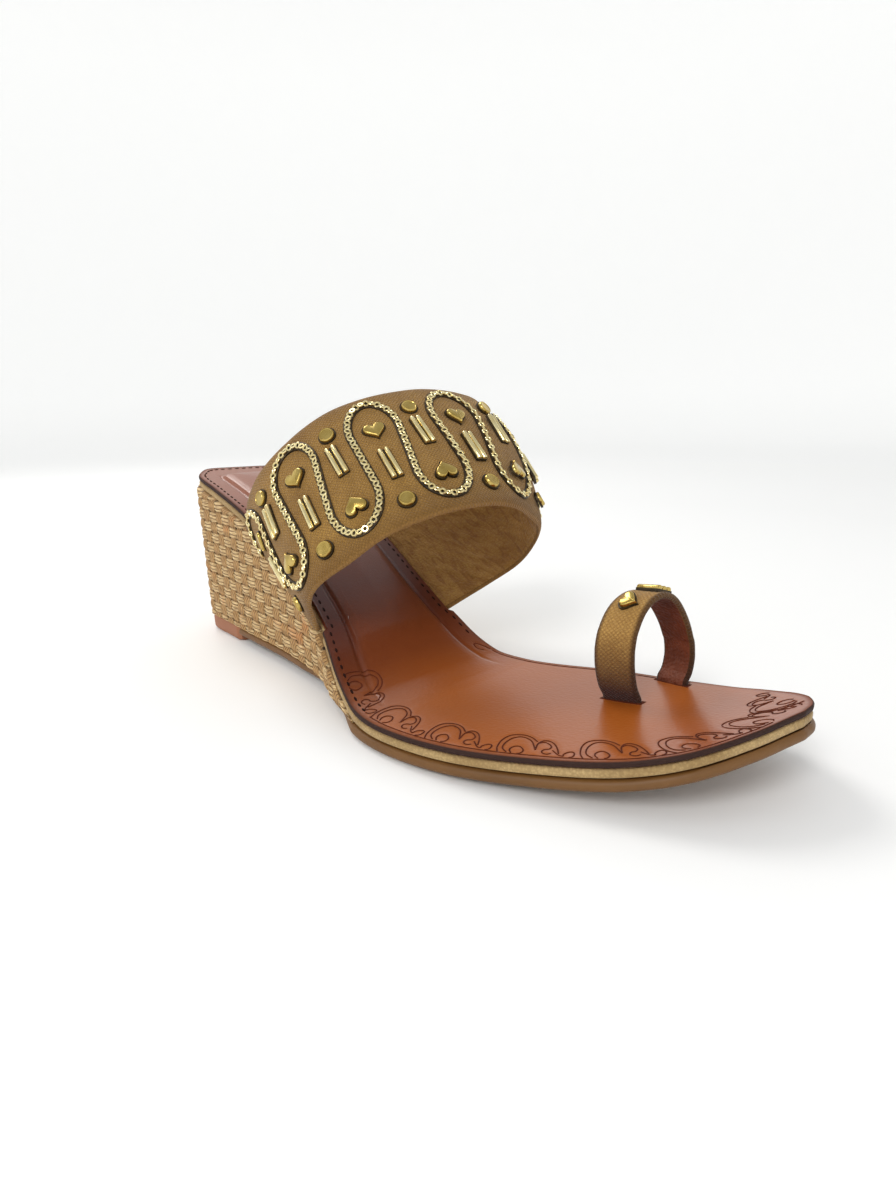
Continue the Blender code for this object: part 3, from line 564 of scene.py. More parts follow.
MIDSOLE_EDGE = (
    # inset, share of the thickness
    (0.0012, 0.0), (0.0005, 0.05), (0.0001, 0.16), (0.0, 0.35), (0.0, 0.62), (0.0002, 0.82),
    (0.0006, 0.95), (0.0014, 1.0),
)
midsole_rows = [midsole_row(*row) for row in MIDSOLE_EDGE]
midsole = sole_layer("midsole_wrapped", midsole_rows, steps=420, notch=strap_notch)
wrap, tree, shader, place, shade, height = nubuck(
    "beige nubuck", dyed(172, 142, 92), dyed(224, 196, 146), dyed(108, 80, 44),
)
tree.links.new(shade, shader.inputs["Base Color"])
bumped(tree, shader, height, strength=0.5, distance=0.0004)
midsole.data.materials.append(wrap)
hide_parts("midsole")


# The insole: glossy cognac leather over thin foam, with a dark trimmed edge. The seat and shank are padded
# inside a pressed groove, and the forefoot's border is tooled with scrolls before it is glued down.
PAD_RISE, PAD_CROWN, PAD_CROWN_RUN, PAD_ROUND = 0.0013, 0.0011, 0.026, 0.7
PAD_INSET, PAD_START, PAD_FADE, PAD_END = 0.0092, 1.35, 0.12, 0.60
PAD_EDGE = (
    # inwards from the groove, share of the rise
    (-0.0009, 0.0), (-0.0003, -0.5), (0.0003, -0.5), (0.0014, 0.55), (0.0040, 0.9), (0.0070, 1.0),
)
BORDER_STEPS = (*np.arange(0.0006, 0.0180, 0.0006), 0.019, 0.0205, 0.0225, 0.025, 0.028)
BORDER_REACH, MIDDLE_ROWS = 0.44, 6
TOE_LOOP_ALONG, TOE_LOOP_OUT = 0.803, 0.310


def insole_row(inset, share):
    return lambda x, around: (inset + 0 * x, footbed(x) - share * INSOLE_THICK)


def border(bm, halves, places):
    """The insole's upper face, in rows counted from both edges, close together where the border is tooled."""
    rows = []
    for outer, inner in zip(*halves):
        width = (inner.co - outer.co).length
        shrink = min(1.0, BORDER_REACH * width / BORDER_STEPS[-1])
        near = [0.25] * len(BORDER_STEPS)
        if width > 1e-6:
            near = [shrink * step / width for step in BORDER_STEPS]
        far = [1 - share for share in near[::-1]]
        middle = np.linspace(near[-1], far[0], MIDDLE_ROWS + 2)[1:-1]
        row = [outer]
        for share in (*near, *middle, *far):
            spot = outer.co.lerp(inner.co, share)
            vert = bm.verts.new((spot.x, spot.y, footbed(spot.x)))
            places[vert] = (spot.x, spot.y)
            row.append(vert)
        rows.append([*row, inner])
    skin(bm, rows, closed=False)


EDGE_POINTS = np.vstack([RIM["outer"], RIM["inner"][::-1]])
EDGE_ROUND = np.concatenate([
    SHARES * RIM_LENGTH["outer"], RIM_LENGTH["outer"] + SHARES * RIM_LENGTH["inner"],
])
edge_tree = kdtree.KDTree(len(EDGE_POINTS))
for i, (x, y) in enumerate(EDGE_POINTS):
    edge_tree.insert((x, y, 0), i)
edge_tree.balance()


def from_edge(x, y):
    """The way round the edge, heel to toe along the outer side and back, and the distance inwards from it."""
    _, nearest, distance = edge_tree.find((x, y, 0))
    return EDGE_ROUND[nearest], distance


def on_border(around, inward):
    """The point at this way round the edge, this far in from it."""
    if around <= RIM_LENGTH["outer"]:
        spot = rim("outer", around / RIM_LENGTH["outer"], inward)
    else:
        spot = rim("inner", 1 - (around - RIM_LENGTH["outer"]) / RIM_LENGTH["inner"], inward)
    return float(spot[0]), float(spot[1])


def pad(x, inward):
    """The padded seat's height over the footbed."""
    back = PAD_INSET / FOOT_LENGTH
    stretch = [back, PAD_START * back, PAD_END - PAD_FADE, PAD_END]
    along = np.interp(x / FOOT_LENGTH, stretch, [0, 1, 1, 0])
    steps, rises = np.array(PAD_EDGE).T
    rise = PAD_RISE * np.interp(inward, PAD_INSET + steps, rises)
    return along * (rise + PAD_CROWN * np.interp(inward, [PAD_INSET, PAD_CROWN_RUN], [0, 1]) ** PAD_ROUND)


INSOLE_EDGE = (
    # inset, share of the thickness from the top
    (0.0006, 1.0), (0.0001, 0.85), (0.0, 0.6), (0.0, 0.35), (0.0001, 0.16), (0.0004, 0.0),
)
insole = sole_layer(
    "insole_tooled", [insole_row(*row) for row in INSOLE_EDGE], steps=480, notch=strap_notch, crossing=border,
)

# One scroll of the border: strokes as millimetres along the edge and inwards from it.
SCROLL = (
    ((0.0, 2.4), (-1.0, 6.0), (-1.0, 11.5), (0.5, 15.0), (3.5, 16.0), (6.2, 14.8), (8.4, 12.2)),
    ((2.2, 3.2), (0.6, 5.5), (0.3, 9.0), (1.2, 12.6), (3.0, 14.4), (5.2, 13.8), (6.9, 12.0), (8.2, 9.0),
     (9.2, 6.4)),
    ((9.2, 6.4), (8.9, 11.0), (9.8, 13.2), (11.2, 13.3), (12.9, 11.8), (14.5, 8.5), (15.6, 5.0)),
    ((8.9, 11.0), (10.2, 12.1), (11.7, 11.2), (12.8, 9.3), (12.5, 7.5), (11.5, 7.0), (11.1, 5.8), (11.6, 4.5),
     (12.7, 4.0), (13.7, 4.7)),
    ((13.7, 6.8), (14.7, 5.4), (16.0, 3.8), (17.1, 3.4)),
    ((17.1, 3.5), (17.0, 4.8), (18.0, 6.5), (19.0, 6.6), (19.6, 5.0), (19.4, 3.4), (18.6, 2.7)),
    ((3.5, 3.0), (2.7, 4.8), (2.9, 6.7), (4.3, 7.8), (5.6, 6.7), (6.3, 5.0), (6.0, 3.3), (5.1, 2.6)),
)
SCROLL_START, SCROLL_PITCH, SCROLL_COUNT = 0.1501, 0.0223, 8
SCROLL_LENGTH, SCROLL_DEPTH = 0.0196, 0.86
BORDER_LINE, BORDER_STRETCHES, BORDER_STEP = 0.0021, ((0.172, 0.288), (0.352, 0.424)), 0.0008
END_CURL = ((0.4240, 0.0021), (0.4275, 0.0034), (0.4290, 0.0052), (0.4270, 0.0062), (0.4250, 0.0048))
TOOLED_REACH, TOOLED_DEPTH, TOOLED_EDGE = 0.0008, 0.00012, 0.0015


def stamped(start, stroke):
    """One stroke of a scroll, laid straight between the scroll's two ends on the border line."""
    first, last = (np.array(on_border(start + turn, BORDER_LINE)) for turn in (0.0, SCROLL_LENGTH))
    run = (last - first) / SCROLL_LENGTH
    inwards = np.array([-run[1], run[0]]) / np.linalg.norm(run)
    curve = smooth([(along / 1000, inward / 1000, 0) for along, inward in stroke], steps=8)
    spots = first + curve[:, :1] * run + (curve[:, 1:2] * SCROLL_DEPTH - BORDER_LINE) * inwards
    return [(float(x), float(y)) for x, y in spots]


strokes = []
for number in range(SCROLL_COUNT):
    strokes += [stamped(SCROLL_START + number * SCROLL_PITCH, stroke) for stroke in SCROLL]
for first, last in BORDER_STRETCHES:
    strokes.append([on_border(turn, BORDER_LINE) for turn in np.arange(first, last, BORDER_STEP)])
curl = smooth([(turn, inset, 0) for turn, inset in END_CURL], steps=8)
strokes.append([on_border(turn, inset) for turn, inset, _ in curl])

stroke_points = [point for line in strokes for point in line]
stroke_tree = kdtree.KDTree(len(stroke_points))
for i, (x, y) in enumerate(stroke_points):
    stroke_tree.insert((x, y, 0), i)
stroke_tree.balance()

# Each vertex keeps its distance from the edge, in millimetres, and how deep in a tooled line it lies.
inward, tooled = [], []
for vert, (x, y, z) in zip(insole.data.vertices, spots_of(insole)):
    around, distance = from_edge(float(x), float(y))
    near = stroke_tree.find((float(x), float(y), 0))[2]
    inward.append(distance * 1000)
    tooled.append(max(0.0, 1 - near / TOOLED_REACH))
    if z > footbed(x) - 0.05 * INSOLE_THICK:
        soft = np.interp(distance, [0.0, TOOLED_EDGE], [0.3, 1.0])
        vert.co.z += pad(x, distance) - TOOLED_DEPTH * soft * tooled[-1]
paint(insole, inward=inward, tooled=tooled)

SHANK_REAR, SHANK_FRONT = (0.060, 0.085), (0.112, 0.140)
cognac, tree, shader, place = material_for(
    "cognac leather", 0.34, Specular_IOR_Level=0.35, Coat_Weight=0.25, Coat_Roughness=0.2,
)
height, tone = grained(tree, place, cells=900.0, clouds=28.0)
along = node(tree, "SeparateXYZ", {0: place}).outputs[0]
edge = node(tree, "Attribute", attribute_name="inward").outputs["Fac"]
# Colour along the foot. The darker stops over the shank, under the instep strap, are partly the leather's own
# colour and partly painted shade from the strap.
ramp = node(tree, "ValToRGB", {0: spread(tree, along, TOE_SHIFT, TOE_SHIFT + FOOT_LENGTH)})
for i, (stop, colour) in enumerate((
    (0.0, dyed(146, 88, 62)), (0.22, dyed(134, 74, 50)), (0.40, dyed(86, 38, 22)),
    (0.52, dyed(108, 50, 18)), (0.62, dyed(160, 84, 22)), (0.85, dyed(166, 88, 28)), (1.0, dyed(150, 76, 36)),
)):
    element = ramp.color_ramp.elements[i] if i < 2 else ramp.color_ramp.elements.new(stop)
    element.position, element.color = stop, colour
body = mixed(tree, spread(tree, tone, 0.0, 1.0, 0.0, 0.25), ramp.outputs[0], dyed(128, 60, 22))
rear, front = ([TOE_SHIFT + x for x in stretch] for stretch in (SHANK_REAR, SHANK_FRONT))
shank = sum_of(tree, spread(tree, along, *rear), spread(tree, along, *front, 1.0, 0.0), "MULTIPLY")
# Painted shade: the shank is darker at its sides, outside the pad, under the instep strap.
shank_shade_under_strap = sum_of(tree, shank, spread(tree, edge, 9.0, 12.5, 0.8, 0.0), "MULTIPLY")
body = mixed(tree, shank_shade_under_strap, body, dyed(72, 27, 17))
body = mixed(tree, spread(tree, edge, 0.9, 2.2, 0.55, 0.0), body, dyed(92, 44, 26))
body = mixed(tree, spread(tree, edge, 0.25, 0.6, 1.0, 0.0), body, dyed(46, 22, 13))
burnt = node(tree, "Attribute", attribute_name="tooled").outputs["Fac"]
body = mixed(tree, spread(tree, burnt, 0.2, 1.0, 0.0, 0.35), body, dyed(104, 46, 26))
tree.links.new(body, shader.inputs["Base Color"])
finish = spread(tree, edge, 0.4, 1.6)
tree.links.new(spread(tree, finish, 0.0, 1.0, 0.0, 0.25), shader.inputs["Coat Weight"])
tree.links.new(spread(tree, finish, 0.0, 1.0, 0.75, 0.34), shader.inputs["Roughness"])
creases = node(tree, "TexNoise", {
    "Vector": node(tree, "Mapping", {"Vector": place, "Scale": (900.0, 2200.0, 900.0)}).outputs[0],
    "Scale": 1.0, "Detail": 5.0, "Distortion": 0.8,
}).outputs[0]
lift = sum_of(tree, height, sum_of(tree, creases, sum_of(tree, shank, 6.0, "MULTIPLY"), "MULTIPLY"))
bumped(tree, shader, lift, strength=0.09, distance=0.0004)
insole.data.materials.append(cognac)
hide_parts("insole")


def surface_of_insole(x, y):
    """Height of the insole's upper face, pad and all."""
    return float(footbed(x)) + float(pad(x, from_edge(x, y)[1]))


def rod(bm, line, width, height):
    """A flat rod with six sides, laid along a line of points on the insole and half sunk in it."""
    points = np.array([(x, y, surface_of_insole(x, y)) for x, y in line])
    run = np.gradient(points, axis=0)
    run /= np.linalg.norm(run, axis=1, keepdims=True) + 1e-12
    side = np.cross(np.array([0, 0, 1.0]), run)
    side /= np.linalg.norm(side, axis=1, keepdims=True) + 1e-12
    rows = []
    for point, across in zip(points, side):
        ring = []
        for turn in np.linspace(0, math.tau, 7)[:-1]:
            lift = np.array([0, 0, height * math.sin(turn)])
            ring.append(bm.verts.new(point + across * width / 2 * math.cos(turn) + lift))
        rows.append(ring)
    skin(bm, rows, closed=True)
    bm.faces.new(rows[0])
    bm.faces.new(rows[-1][::-1])


# The lines of the tooling: pressed with a warm tool, so that they are burnt dark and lie in the leather.
LINE_WIDTH, LINE_PROUD = 0.00042, 0.00008
bm = bmesh.new()
for line in strokes:
    rod(bm, line, LINE_WIDTH, LINE_PROUD)
tooling = piece("insole_tooling", bm)
burnt_leather, tree, shader, place = material_for("burnt leather", 0.8, Specular_IOR_Level=0.15)
tree.links.new(
    mixed(tree, grained(tree, place, cells=1800.0, clouds=200.0)[1], dyed(70, 28, 16), dyed(94, 42, 22)),
    shader.inputs["Base Color"],
)
tooling.data.materials.append(burnt_leather)


# Stitches of dark waxed thread hold insole and midsole round the heel and down both sides of the shank.
def scattered(name, shape, frames):
    """Copies of a small shape, each set on a surface: its origin, its width, its length and its normal."""
    bm = bmesh.new()
    for origin, side, length, normal in frames:
        before = len(bm.verts)
        bm.from_mesh(shape)
        bm.verts.ensure_lookup_table()
        turn = Matrix((Vector(side), Vector(length), Vector(normal))).transposed().to_4x4()
        turn.translation = Vector(origin)
        bmesh.ops.transform(bm, matrix=turn, verts=bm.verts[before:])
    bpy.data.meshes.remove(shape)
    return piece(name, bm)


def shape_from(bm):
    """A mesh to be copied, from the form that was drawn."""
    mesh = bpy.data.meshes.new("shape")
    bm.to_mesh(mesh)
    bm.free()
    return mesh


STITCH_PITCH, STITCH_LENGTH, STITCH_WIDTH, STITCH_THICK = 0.0033, 0.0022, 0.00085, 0.0005
STITCH_START, STITCH_END, STITCH_INSET, STITCH_REACH = -0.150, 0.168, 0.0026, 0.0006
bm = bmesh.new()
bmesh.ops.create_uvsphere(bm, u_segments=8, v_segments=6, radius=0.5)
bmesh.ops.scale(bm, vec=(STITCH_WIDTH, STITCH_LENGTH, STITCH_THICK), verts=bm.verts)
frames = []
whole = RIM_LENGTH["outer"] + RIM_LENGTH["inner"]
for turn in np.arange(STITCH_START, STITCH_END, STITCH_PITCH):
    side = "outer" if turn > 0 else "inner"
    way = abs(turn) / RIM_LENGTH[side]
    inset = STITCH_INSET + float(strap_notch(side, rim(side, way)[0]))
    turns = [(turn + step) % whole for step in (-STITCH_REACH, 0, STITCH_REACH)]
    spots = [Vector((*on_border(around, inset), 0)) for around in turns]
    for spot in spots:
        spot.z = surface_of_insole(spot.x, spot.y)
    along_it = (spots[2] - spots[0]).normalized()
    side = along_it.cross(Vector((0, 0, 1))).normalized()
    frames.append((spots[1], side, along_it, side.cross(along_it)))
stitches = scattered("insole_stitches", shape_from(bm), frames)
thread, tree, shader, place = material_for("waxed thread", 0.8, Specular_IOR_Level=0.1)
twist = node(tree, "TexNoise", {"Vector": place, "Scale": 4000.0}).outputs[0]
tree.links.new(mixed(tree, twist, dyed(24, 10, 8), dyed(46, 22, 16)), shader.inputs["Base Color"])
stitches.data.materials.append(thread)


# The instep strap: one broad band of brown nubuck, folded over at both edges and lined with soft tan suede.
# Its ends are lasted in between midsole and wedge, so it stands round the foot with no seam.
STRAP_RISE, STRAP_SWELL, STRAP_STEPS = 0.075, 0.0060, 12
STRAP = (
    # rear along, rear out, rear up, front along, front out, front up, swell
    (0.232, -0.382, 0.037, 0.438, -0.447, 0.007, 0.05), (0.260, -0.409, 0.190, 0.460, -0.510, 0.172, 0.10),
    (0.300, -0.397, 0.405, 0.486, -0.504, 0.322, 0.15), (0.340, -0.302, 0.630, 0.520, -0.416, 0.492, 0.15),
    (0.372, -0.183, 0.795, 0.548, -0.302, 0.638, 0.15), (0.392, -0.050, 0.890, 0.572, -0.164, 0.723, 0.15),
    (0.408, 0.101, 0.953, 0.590, 0.0, 0.761, 0.20), (0.420, 0.264, 0.993, 0.596, 0.164, 0.760, 0.30),
    (0.426, 0.460, 0.985, 0.596, 0.315, 0.725, 0.55), (0.420, 0.615, 0.925, 0.584, 0.453, 0.657, 0.85),
    (0.398, 0.690, 0.750, 0.572, 0.560, 0.580, 1.00), (0.352, 0.665, 0.490, 0.554, 0.595, 0.470, 0.80),
    (0.300, 0.545, 0.225, 0.524, 0.570, 0.300, 0.45), (0.262, 0.425, 0.070, 0.494, 0.460, 0.140, 0.15),
)


def strap_base(side, along):
    """A corner of the strap's end, on the seam beside the sole."""
    x = along * FOOT_LENGTH
    line = (RIM[side] - STRAP_STAND * INWARD[side])[HEEL_STEPS:]
    y = np.interp(x, RIM[side][HEEL_STEPS:, 0], line[:, 1])
    return (x, float(y), float(seam(x)) + CLEARANCE)


def strap_row(along, out, up):
    x = along * FOOT_LENGTH
    return (x, out * BALL_WIDTH, float(footbed(x)) + up * STRAP_RISE)


STRAP_EDGES = []
for columns, k in ((slice(0, 3), 0), (slice(3, 6), 1)):
    route = [strap_base("outer", STRAP_OUTER_BASE[k]), *[strap_row(*row[columns]) for row in STRAP]]
    STRAP_EDGES.append(smooth([*route, strap_base("inner", STRAP_INNER_BASE[k])], STRAP_STEPS))
STRAP_GIRTH = lengths_of((STRAP_EDGES[0] + STRAP_EDGES[1]) / 2)
STRAP_DEPTH = float(np.linalg.norm(STRAP_EDGES[1] - STRAP_EDGES[0], axis=1).mean())
swells = [0.0, *(row[6] for row in STRAP), 0.0]
SWELL_SHARES = smooth([(i, swell, 0) for i, swell in enumerate(swells)], STRAP_STEPS)[:, 1]


def strap_plain(girth, v):
    """Points on the strap before it swells. Girth runs from the outer end, v from rear to front edge."""
    edges = []
    for line in STRAP_EDGES:
        edges.append(np.stack([np.interp(girth, STRAP_GIRTH, line[:, i]) for i in range(3)], axis=-1))
    rear, front = edges
    return rear + (front - rear) * np.asarray(v)[..., None]


def unit(vectors):
    return vectors / np.linalg.norm(vectors, axis=-1, keepdims=True)


def strap_frame(girth, v):
    """Points on the strap's outer face, with their outward normals and directions along the girth."""
    girth, v = np.broadcast_arrays(np.asarray(girth, float), np.asarray(v, float))
    along = strap_plain(girth + 0.002, v) - strap_plain(girth - 0.002, v)
    down = strap_plain(girth, 0 * v + 1) - strap_plain(girth, 0 * v)
    normal = unit(np.cross(down, along))
    swell = STRAP_SWELL * np.sin(math.pi * np.clip(v, 0, 1)) * np.interp(girth, STRAP_GIRTH, SWELL_SHARES)
    return strap_plain(girth, v) + swell[..., None] * normal, normal, unit(along)


def laid(name, steps, stations, place, zone):
    """A sheet laid out flat and brought to its place, closed round to a thick band, with its ends closed.

    The zone tells which of its faces have the second material.
    """
    bm = bmesh.new()
    bmesh.ops.create_grid(bm, x_segments=steps, y_segments=stations, size=1.0)
    mesh = shape_from(bm)
    flat = np.empty(3 * len(mesh.vertices), dtype=np.float32)
    mesh.vertices.foreach_get("co", flat)
    share, station = (flat[0::3] + 1) / 2, np.rint((flat[1::3] + 1) / 2 * stations).astype(int)
    spots, lie = place(share.astype(float), station)
    mesh.vertices.foreach_set("co", spots.astype(np.float32).ravel())
    corners = np.empty(len(mesh.loops), dtype=np.int32)
    mesh.loops.foreach_get("vertex_index", corners)
    mesh.uv_layers.new(name="lie").data.foreach_set("uv", lie[corners].astype(np.float32).ravel())
    middle = station[corners].reshape(-1, 4).mean(axis=1)
    mesh.polygons.foreach_set("material_index", zone(middle).astype(np.int32))
    bm = bmesh.new()
    bm.from_mesh(mesh)
    bpy.data.meshes.remove(mesh)
    bmesh.ops.remove_doubles(bm, verts=bm.verts, dist=1e-6)
    bmesh.ops.holes_fill(bm, edges=[e for e in bm.edges if e.is_boundary])
    return piece(name, bm)


def band_stations(face, lining, depth, wall):
    """Stations round a folded band: share across it and distance under its outer face."""
    half = wall / 2 / depth
    turn = np.linspace(0, math.pi, 7)[1:-1]
    front = [(1 - half + half * math.sin(t), wall / 2 * (1 - math.cos(t))) for t in turn]
    rear = [(half - half * math.sin(t), wall / 2 * (1 + math.cos(t))) for t in turn]
    outer = [(v, 0.0) for v in np.linspace(half, 1 - half, face)]
    inner = [(v, wall) for v in np.linspace(1 - half, half, lining)]
    return np.array([*outer, *front, *inner, *rear, outer[0]]), len(outer) + len(front)


STRAP_FACE_ROWS, STRAP_LINING_ROWS = 64, 40
STRAP_STATIONS, STRAP_LINING = band_stations(STRAP_FACE_ROWS, STRAP_LINING_ROWS, STRAP_DEPTH, STRAP_WALL)
HIDE_RISE, FOLD_ROLL, FOLD_RUN, CREASE_RISE, STILL_SHARE = 0.00010, 0.0006, 0.0016, 0.00014, 0.04


def lined(first, count):
    """Tells the faces of a band's lining by the middle of their stations."""
    return lambda middle: (middle > first) & (middle < first + count - 1)


def hide_waves(girth, v):
    """Slow unevenness of a band pulled over a last."""
    wave = np.sin(girth * 95 + 3 * v) + 0.7 * np.sin(girth * 230 - 5 * v + 1)
    return HIDE_RISE * (wave + 0.5 * np.sin(girth * 61 + 9 * v))


def strap_place(share, station):
    """The strap's own points: rolled at its folds, creased inside and still where it is lasted in."""
    v, under = STRAP_STATIONS[station].T
    girth = share * STRAP_GIRTH[-1]
    point, normal, _ = strap_frame(girth, v)
    folds = (v * STRAP_DEPTH, (1 - v) * STRAP_DEPTH)
    roll = FOLD_ROLL * sum(np.exp(-(fold / FOLD_RUN) ** 2) for fold in folds)
    still = np.clip(np.minimum(share, 1 - share) / STILL_SHARE, 0, 1)
    wrinkle = CREASE_RISE * np.sin(girth * 900 + 40 * v + 2 * np.sin(girth * 210))
    crease = np.where(under > 0.9 * STRAP_WALL, wrinkle, 0.0)
    lift = still * (hide_waves(girth, v) - roll * (under < 0.5 * STRAP_WALL) + crease) - under
    return point + normal * lift[:, None], np.stack([girth, v * STRAP_DEPTH], axis=1)


strap = laid(
    "instep_strap_lasted", 320, len(STRAP_STATIONS) - 1, strap_place, lined(STRAP_LINING, STRAP_LINING_ROWS),
)
brown, tree, shader, place, shade, height = nubuck(
    "brown nubuck", dyed(162, 121, 54), dyed(184, 143, 72), dyed(96, 66, 28), nap=1800.0, net=1050.0,
)
lie = node(tree, "UVMap", uv_map="lie").outputs[0]
across = node(tree, "SeparateXYZ", {0: lie}).outputs[1]
# Painted shade: the strap is darker towards both its folded edges, where the band curves away from the light.
front = spread(tree, across, STRAP_DEPTH - 0.011, STRAP_DEPTH - 0.002, 0.0, 0.45)
rear = spread(tree, across, 0.001, 0.008, 0.35, 0.0)
shade = mixed(tree, sum_of(tree, front, rear), shade, dyed(98, 66, 32))
# Painted highlight: a thin lighter line along the rim of the front fold.
wear_and_rim_highlight = spread(tree, across, STRAP_DEPTH - 0.0010, STRAP_DEPTH - 0.0004, 0.0, 0.5)
shade = mixed(tree, wear_and_rim_highlight, shade, dyed(150, 112, 62))
tree.links.new(shade, shader.inputs["Base Color"])
bumped(tree, shader, height, strength=0.55, distance=0.0004)

suede, tree, shader, place, shade, height = nubuck(
    "tan suede lining", dyed(188, 142, 70), dyed(208, 164, 90), dyed(130, 90, 40), nap=1100.0,
)
lie = node(tree, "UVMap", uv_map="lie").outputs[0]
drawn = node(tree, "Mapping", {"Vector": lie, "Scale": (420.0, 120.0, 1.0), "Rotation": (0, 0, 0.6)})
wrinkled = node(tree, "TexNoise", {
    "Vector": drawn.outputs[0], "Scale": 1.0, "Detail": 6.0, "Distortion": 1.6,
}).outputs[0]
# Painted shade: the lining is darker in the troughs of its wrinkles.
shade = mixed(tree, spread(tree, wrinkled, 0.36, 0.54, 0.45, 0.0), shade, dyed(116, 76, 30))
turn = node(tree, "SeparateXYZ", {0: lie}).outputs[0]
# Painted shade: the lining is darker towards the strap's inner end, deep under the strap.
shade = mixed(tree, spread(tree, turn, 0.120, 0.160, 0.0, 0.35), shade, dyed(96, 56, 26))
tree.links.new(shade, shader.inputs["Base Color"])
height = sum_of(tree, height, sum_of(tree, wrinkled, 4.0, "MULTIPLY"))
bumped(tree, shader, height, strength=0.45, distance=0.0006)
strap.data.materials.append(brown)
strap.data.materials.append(suede)
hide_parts("instep_strap")


# The toe loop: a narrow strap of the same nubuck with a dark lining. Its legs go down through two slits
# in the insole and are glued beneath.
LOOP_WALL, LOOP_WIDTH, LOOP_RISE, LOOP_SPAN = 0.0020, 0.0115, 0.0325, 0.0284
LOOP_FLARE, LOOP_SKEW = 0.0024, 0.17
LOOP_FACE_ROWS, LOOP_LINING_ROWS = 18, 14
LOOP_DARK_LOW, LOOP_DARK_HIGH = 0.0135, 0.033
LOOP = (
    # across, up
    (-0.365, 0.02), (-0.440, 0.16), (-0.490, 0.36), (-0.500, 0.53), (-0.455, 0.73), (-0.345, 0.90),
    (-0.190, 0.985), (-0.020, 0.985), (0.140, 0.90), (0.300, 0.72), (0.425, 0.50), (0.490, 0.28),
    (0.470, 0.12), (0.405, 0.02),
)


def loop_point(across, up, depth):
    """Points on the toe loop's outer face. Depth runs from 0 at its rear edge to 1 at its front edge."""
    sideways = across * (LOOP_SPAN + 2 * LOOP_FLARE * (1 - depth))
    x = TOE_LOOP_ALONG * FOOT_LENGTH + (depth - 0.5) * LOOP_WIDTH + LOOP_SKEW * sideways
    return np.stack([x, TOE_LOOP_OUT * BALL_WIDTH + sideways, footbed(x) + up], axis=-1)


LOOP_ARCH = smooth([(across, up * LOOP_RISE, 0) for across, up in LOOP], steps=8)
LOOP_ARCH = np.vstack([[LOOP_ARCH[0, 0], -INSOLE_THICK, 0], LOOP_ARCH, [LOOP_ARCH[-1, 0], -INSOLE_THICK, 0]])
LOOP_GIRTH = lengths_of(loop_point(LOOP_ARCH[:, 0], LOOP_ARCH[:, 1], 0 * LOOP_ARCH[:, 0] + 0.5))


def loop_face(share, depth):
    """Points on the loop's outer face at a share of its girth, from the outer leg over to the inner one."""
    girth = share * LOOP_GIRTH[-1]
    across, up = (np.interp(girth, LOOP_GIRTH, LOOP_ARCH[:, i]) for i in (0, 1))
    return loop_point(across, up, depth)


def loop_frame(share, depth):
    """Points on the loop's outer face, with their outward normals and directions along the girth."""
    share, depth = np.broadcast_arrays(np.asarray(share, float), np.asarray(depth, float))
    step = 0.012
    along = loop_face(np.clip(share + step, 0, 1), depth) - loop_face(np.clip(share - step, 0, 1), depth)
    down = loop_face(share, depth + 0.5) - loop_face(share, depth - 0.5)
    return loop_face(share, depth), unit(np.cross(down, along)), unit(along)


LOOP_STATIONS, LOOP_LINING = band_stations(LOOP_FACE_ROWS, LOOP_LINING_ROWS, LOOP_WIDTH, LOOP_WALL)


def loop_place(share, station):
    depth, under = LOOP_STATIONS[station].T
    point, normal, _ = loop_frame(share, depth)
    return point - normal * under[:, None], np.stack([share * LOOP_GIRTH[-1], depth * LOOP_WIDTH], axis=1)


loop = laid(
    "toe_loop_lined", 150, len(LOOP_STATIONS) - 1, loop_place, lined(LOOP_LINING, LOOP_LINING_ROWS),
)
loop_nubuck, tree, shader, place, shade, height = nubuck(
    "toe loop nubuck", dyed(184, 143, 76), dyed(206, 166, 98), dyed(120, 82, 38), nap=1800.0, net=1050.0,
)
part = node(tree, "SeparateXYZ", {0: node(tree, "UVMap", uv_map="lie").outputs[0]})
up = node(tree, "SeparateXYZ", {0: place}).outputs[2]
low = spread(tree, up, LOOP_DARK_LOW, LOOP_DARK_HIGH, 1.0, 0.0)
shade = mixed(tree, low, shade, dyed(60, 22, 10))
for start, stop in ((0.0016, 0.0006), (LOOP_WIDTH - 0.0016, LOOP_WIDTH - 0.0006)):
    shade = mixed(tree, spread(tree, part.outputs[1], start, stop, 0.0, 0.8), shade, dyed(60, 34, 18))
tree.links.new(shade, shader.inputs["Base Color"])
bumped(tree, shader, height, strength=0.55, distance=0.0004)
dark_lining, tree, shader, place = material_for("maroon lining", 0.6, Specular_IOR_Level=0.35)
height, tone = grained(tree, place, cells=1000.0, clouds=120.0)
shade = mixed(tree, tone, dyed(92, 44, 26), dyed(124, 66, 42))
tree.links.new(shade, shader.inputs["Base Color"])
bumped(tree, shader, height, strength=0.6, distance=0.0006)
loop.data.materials.append(loop_nubuck)
loop.data.materials.append(dark_lining)
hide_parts("toe_loop")


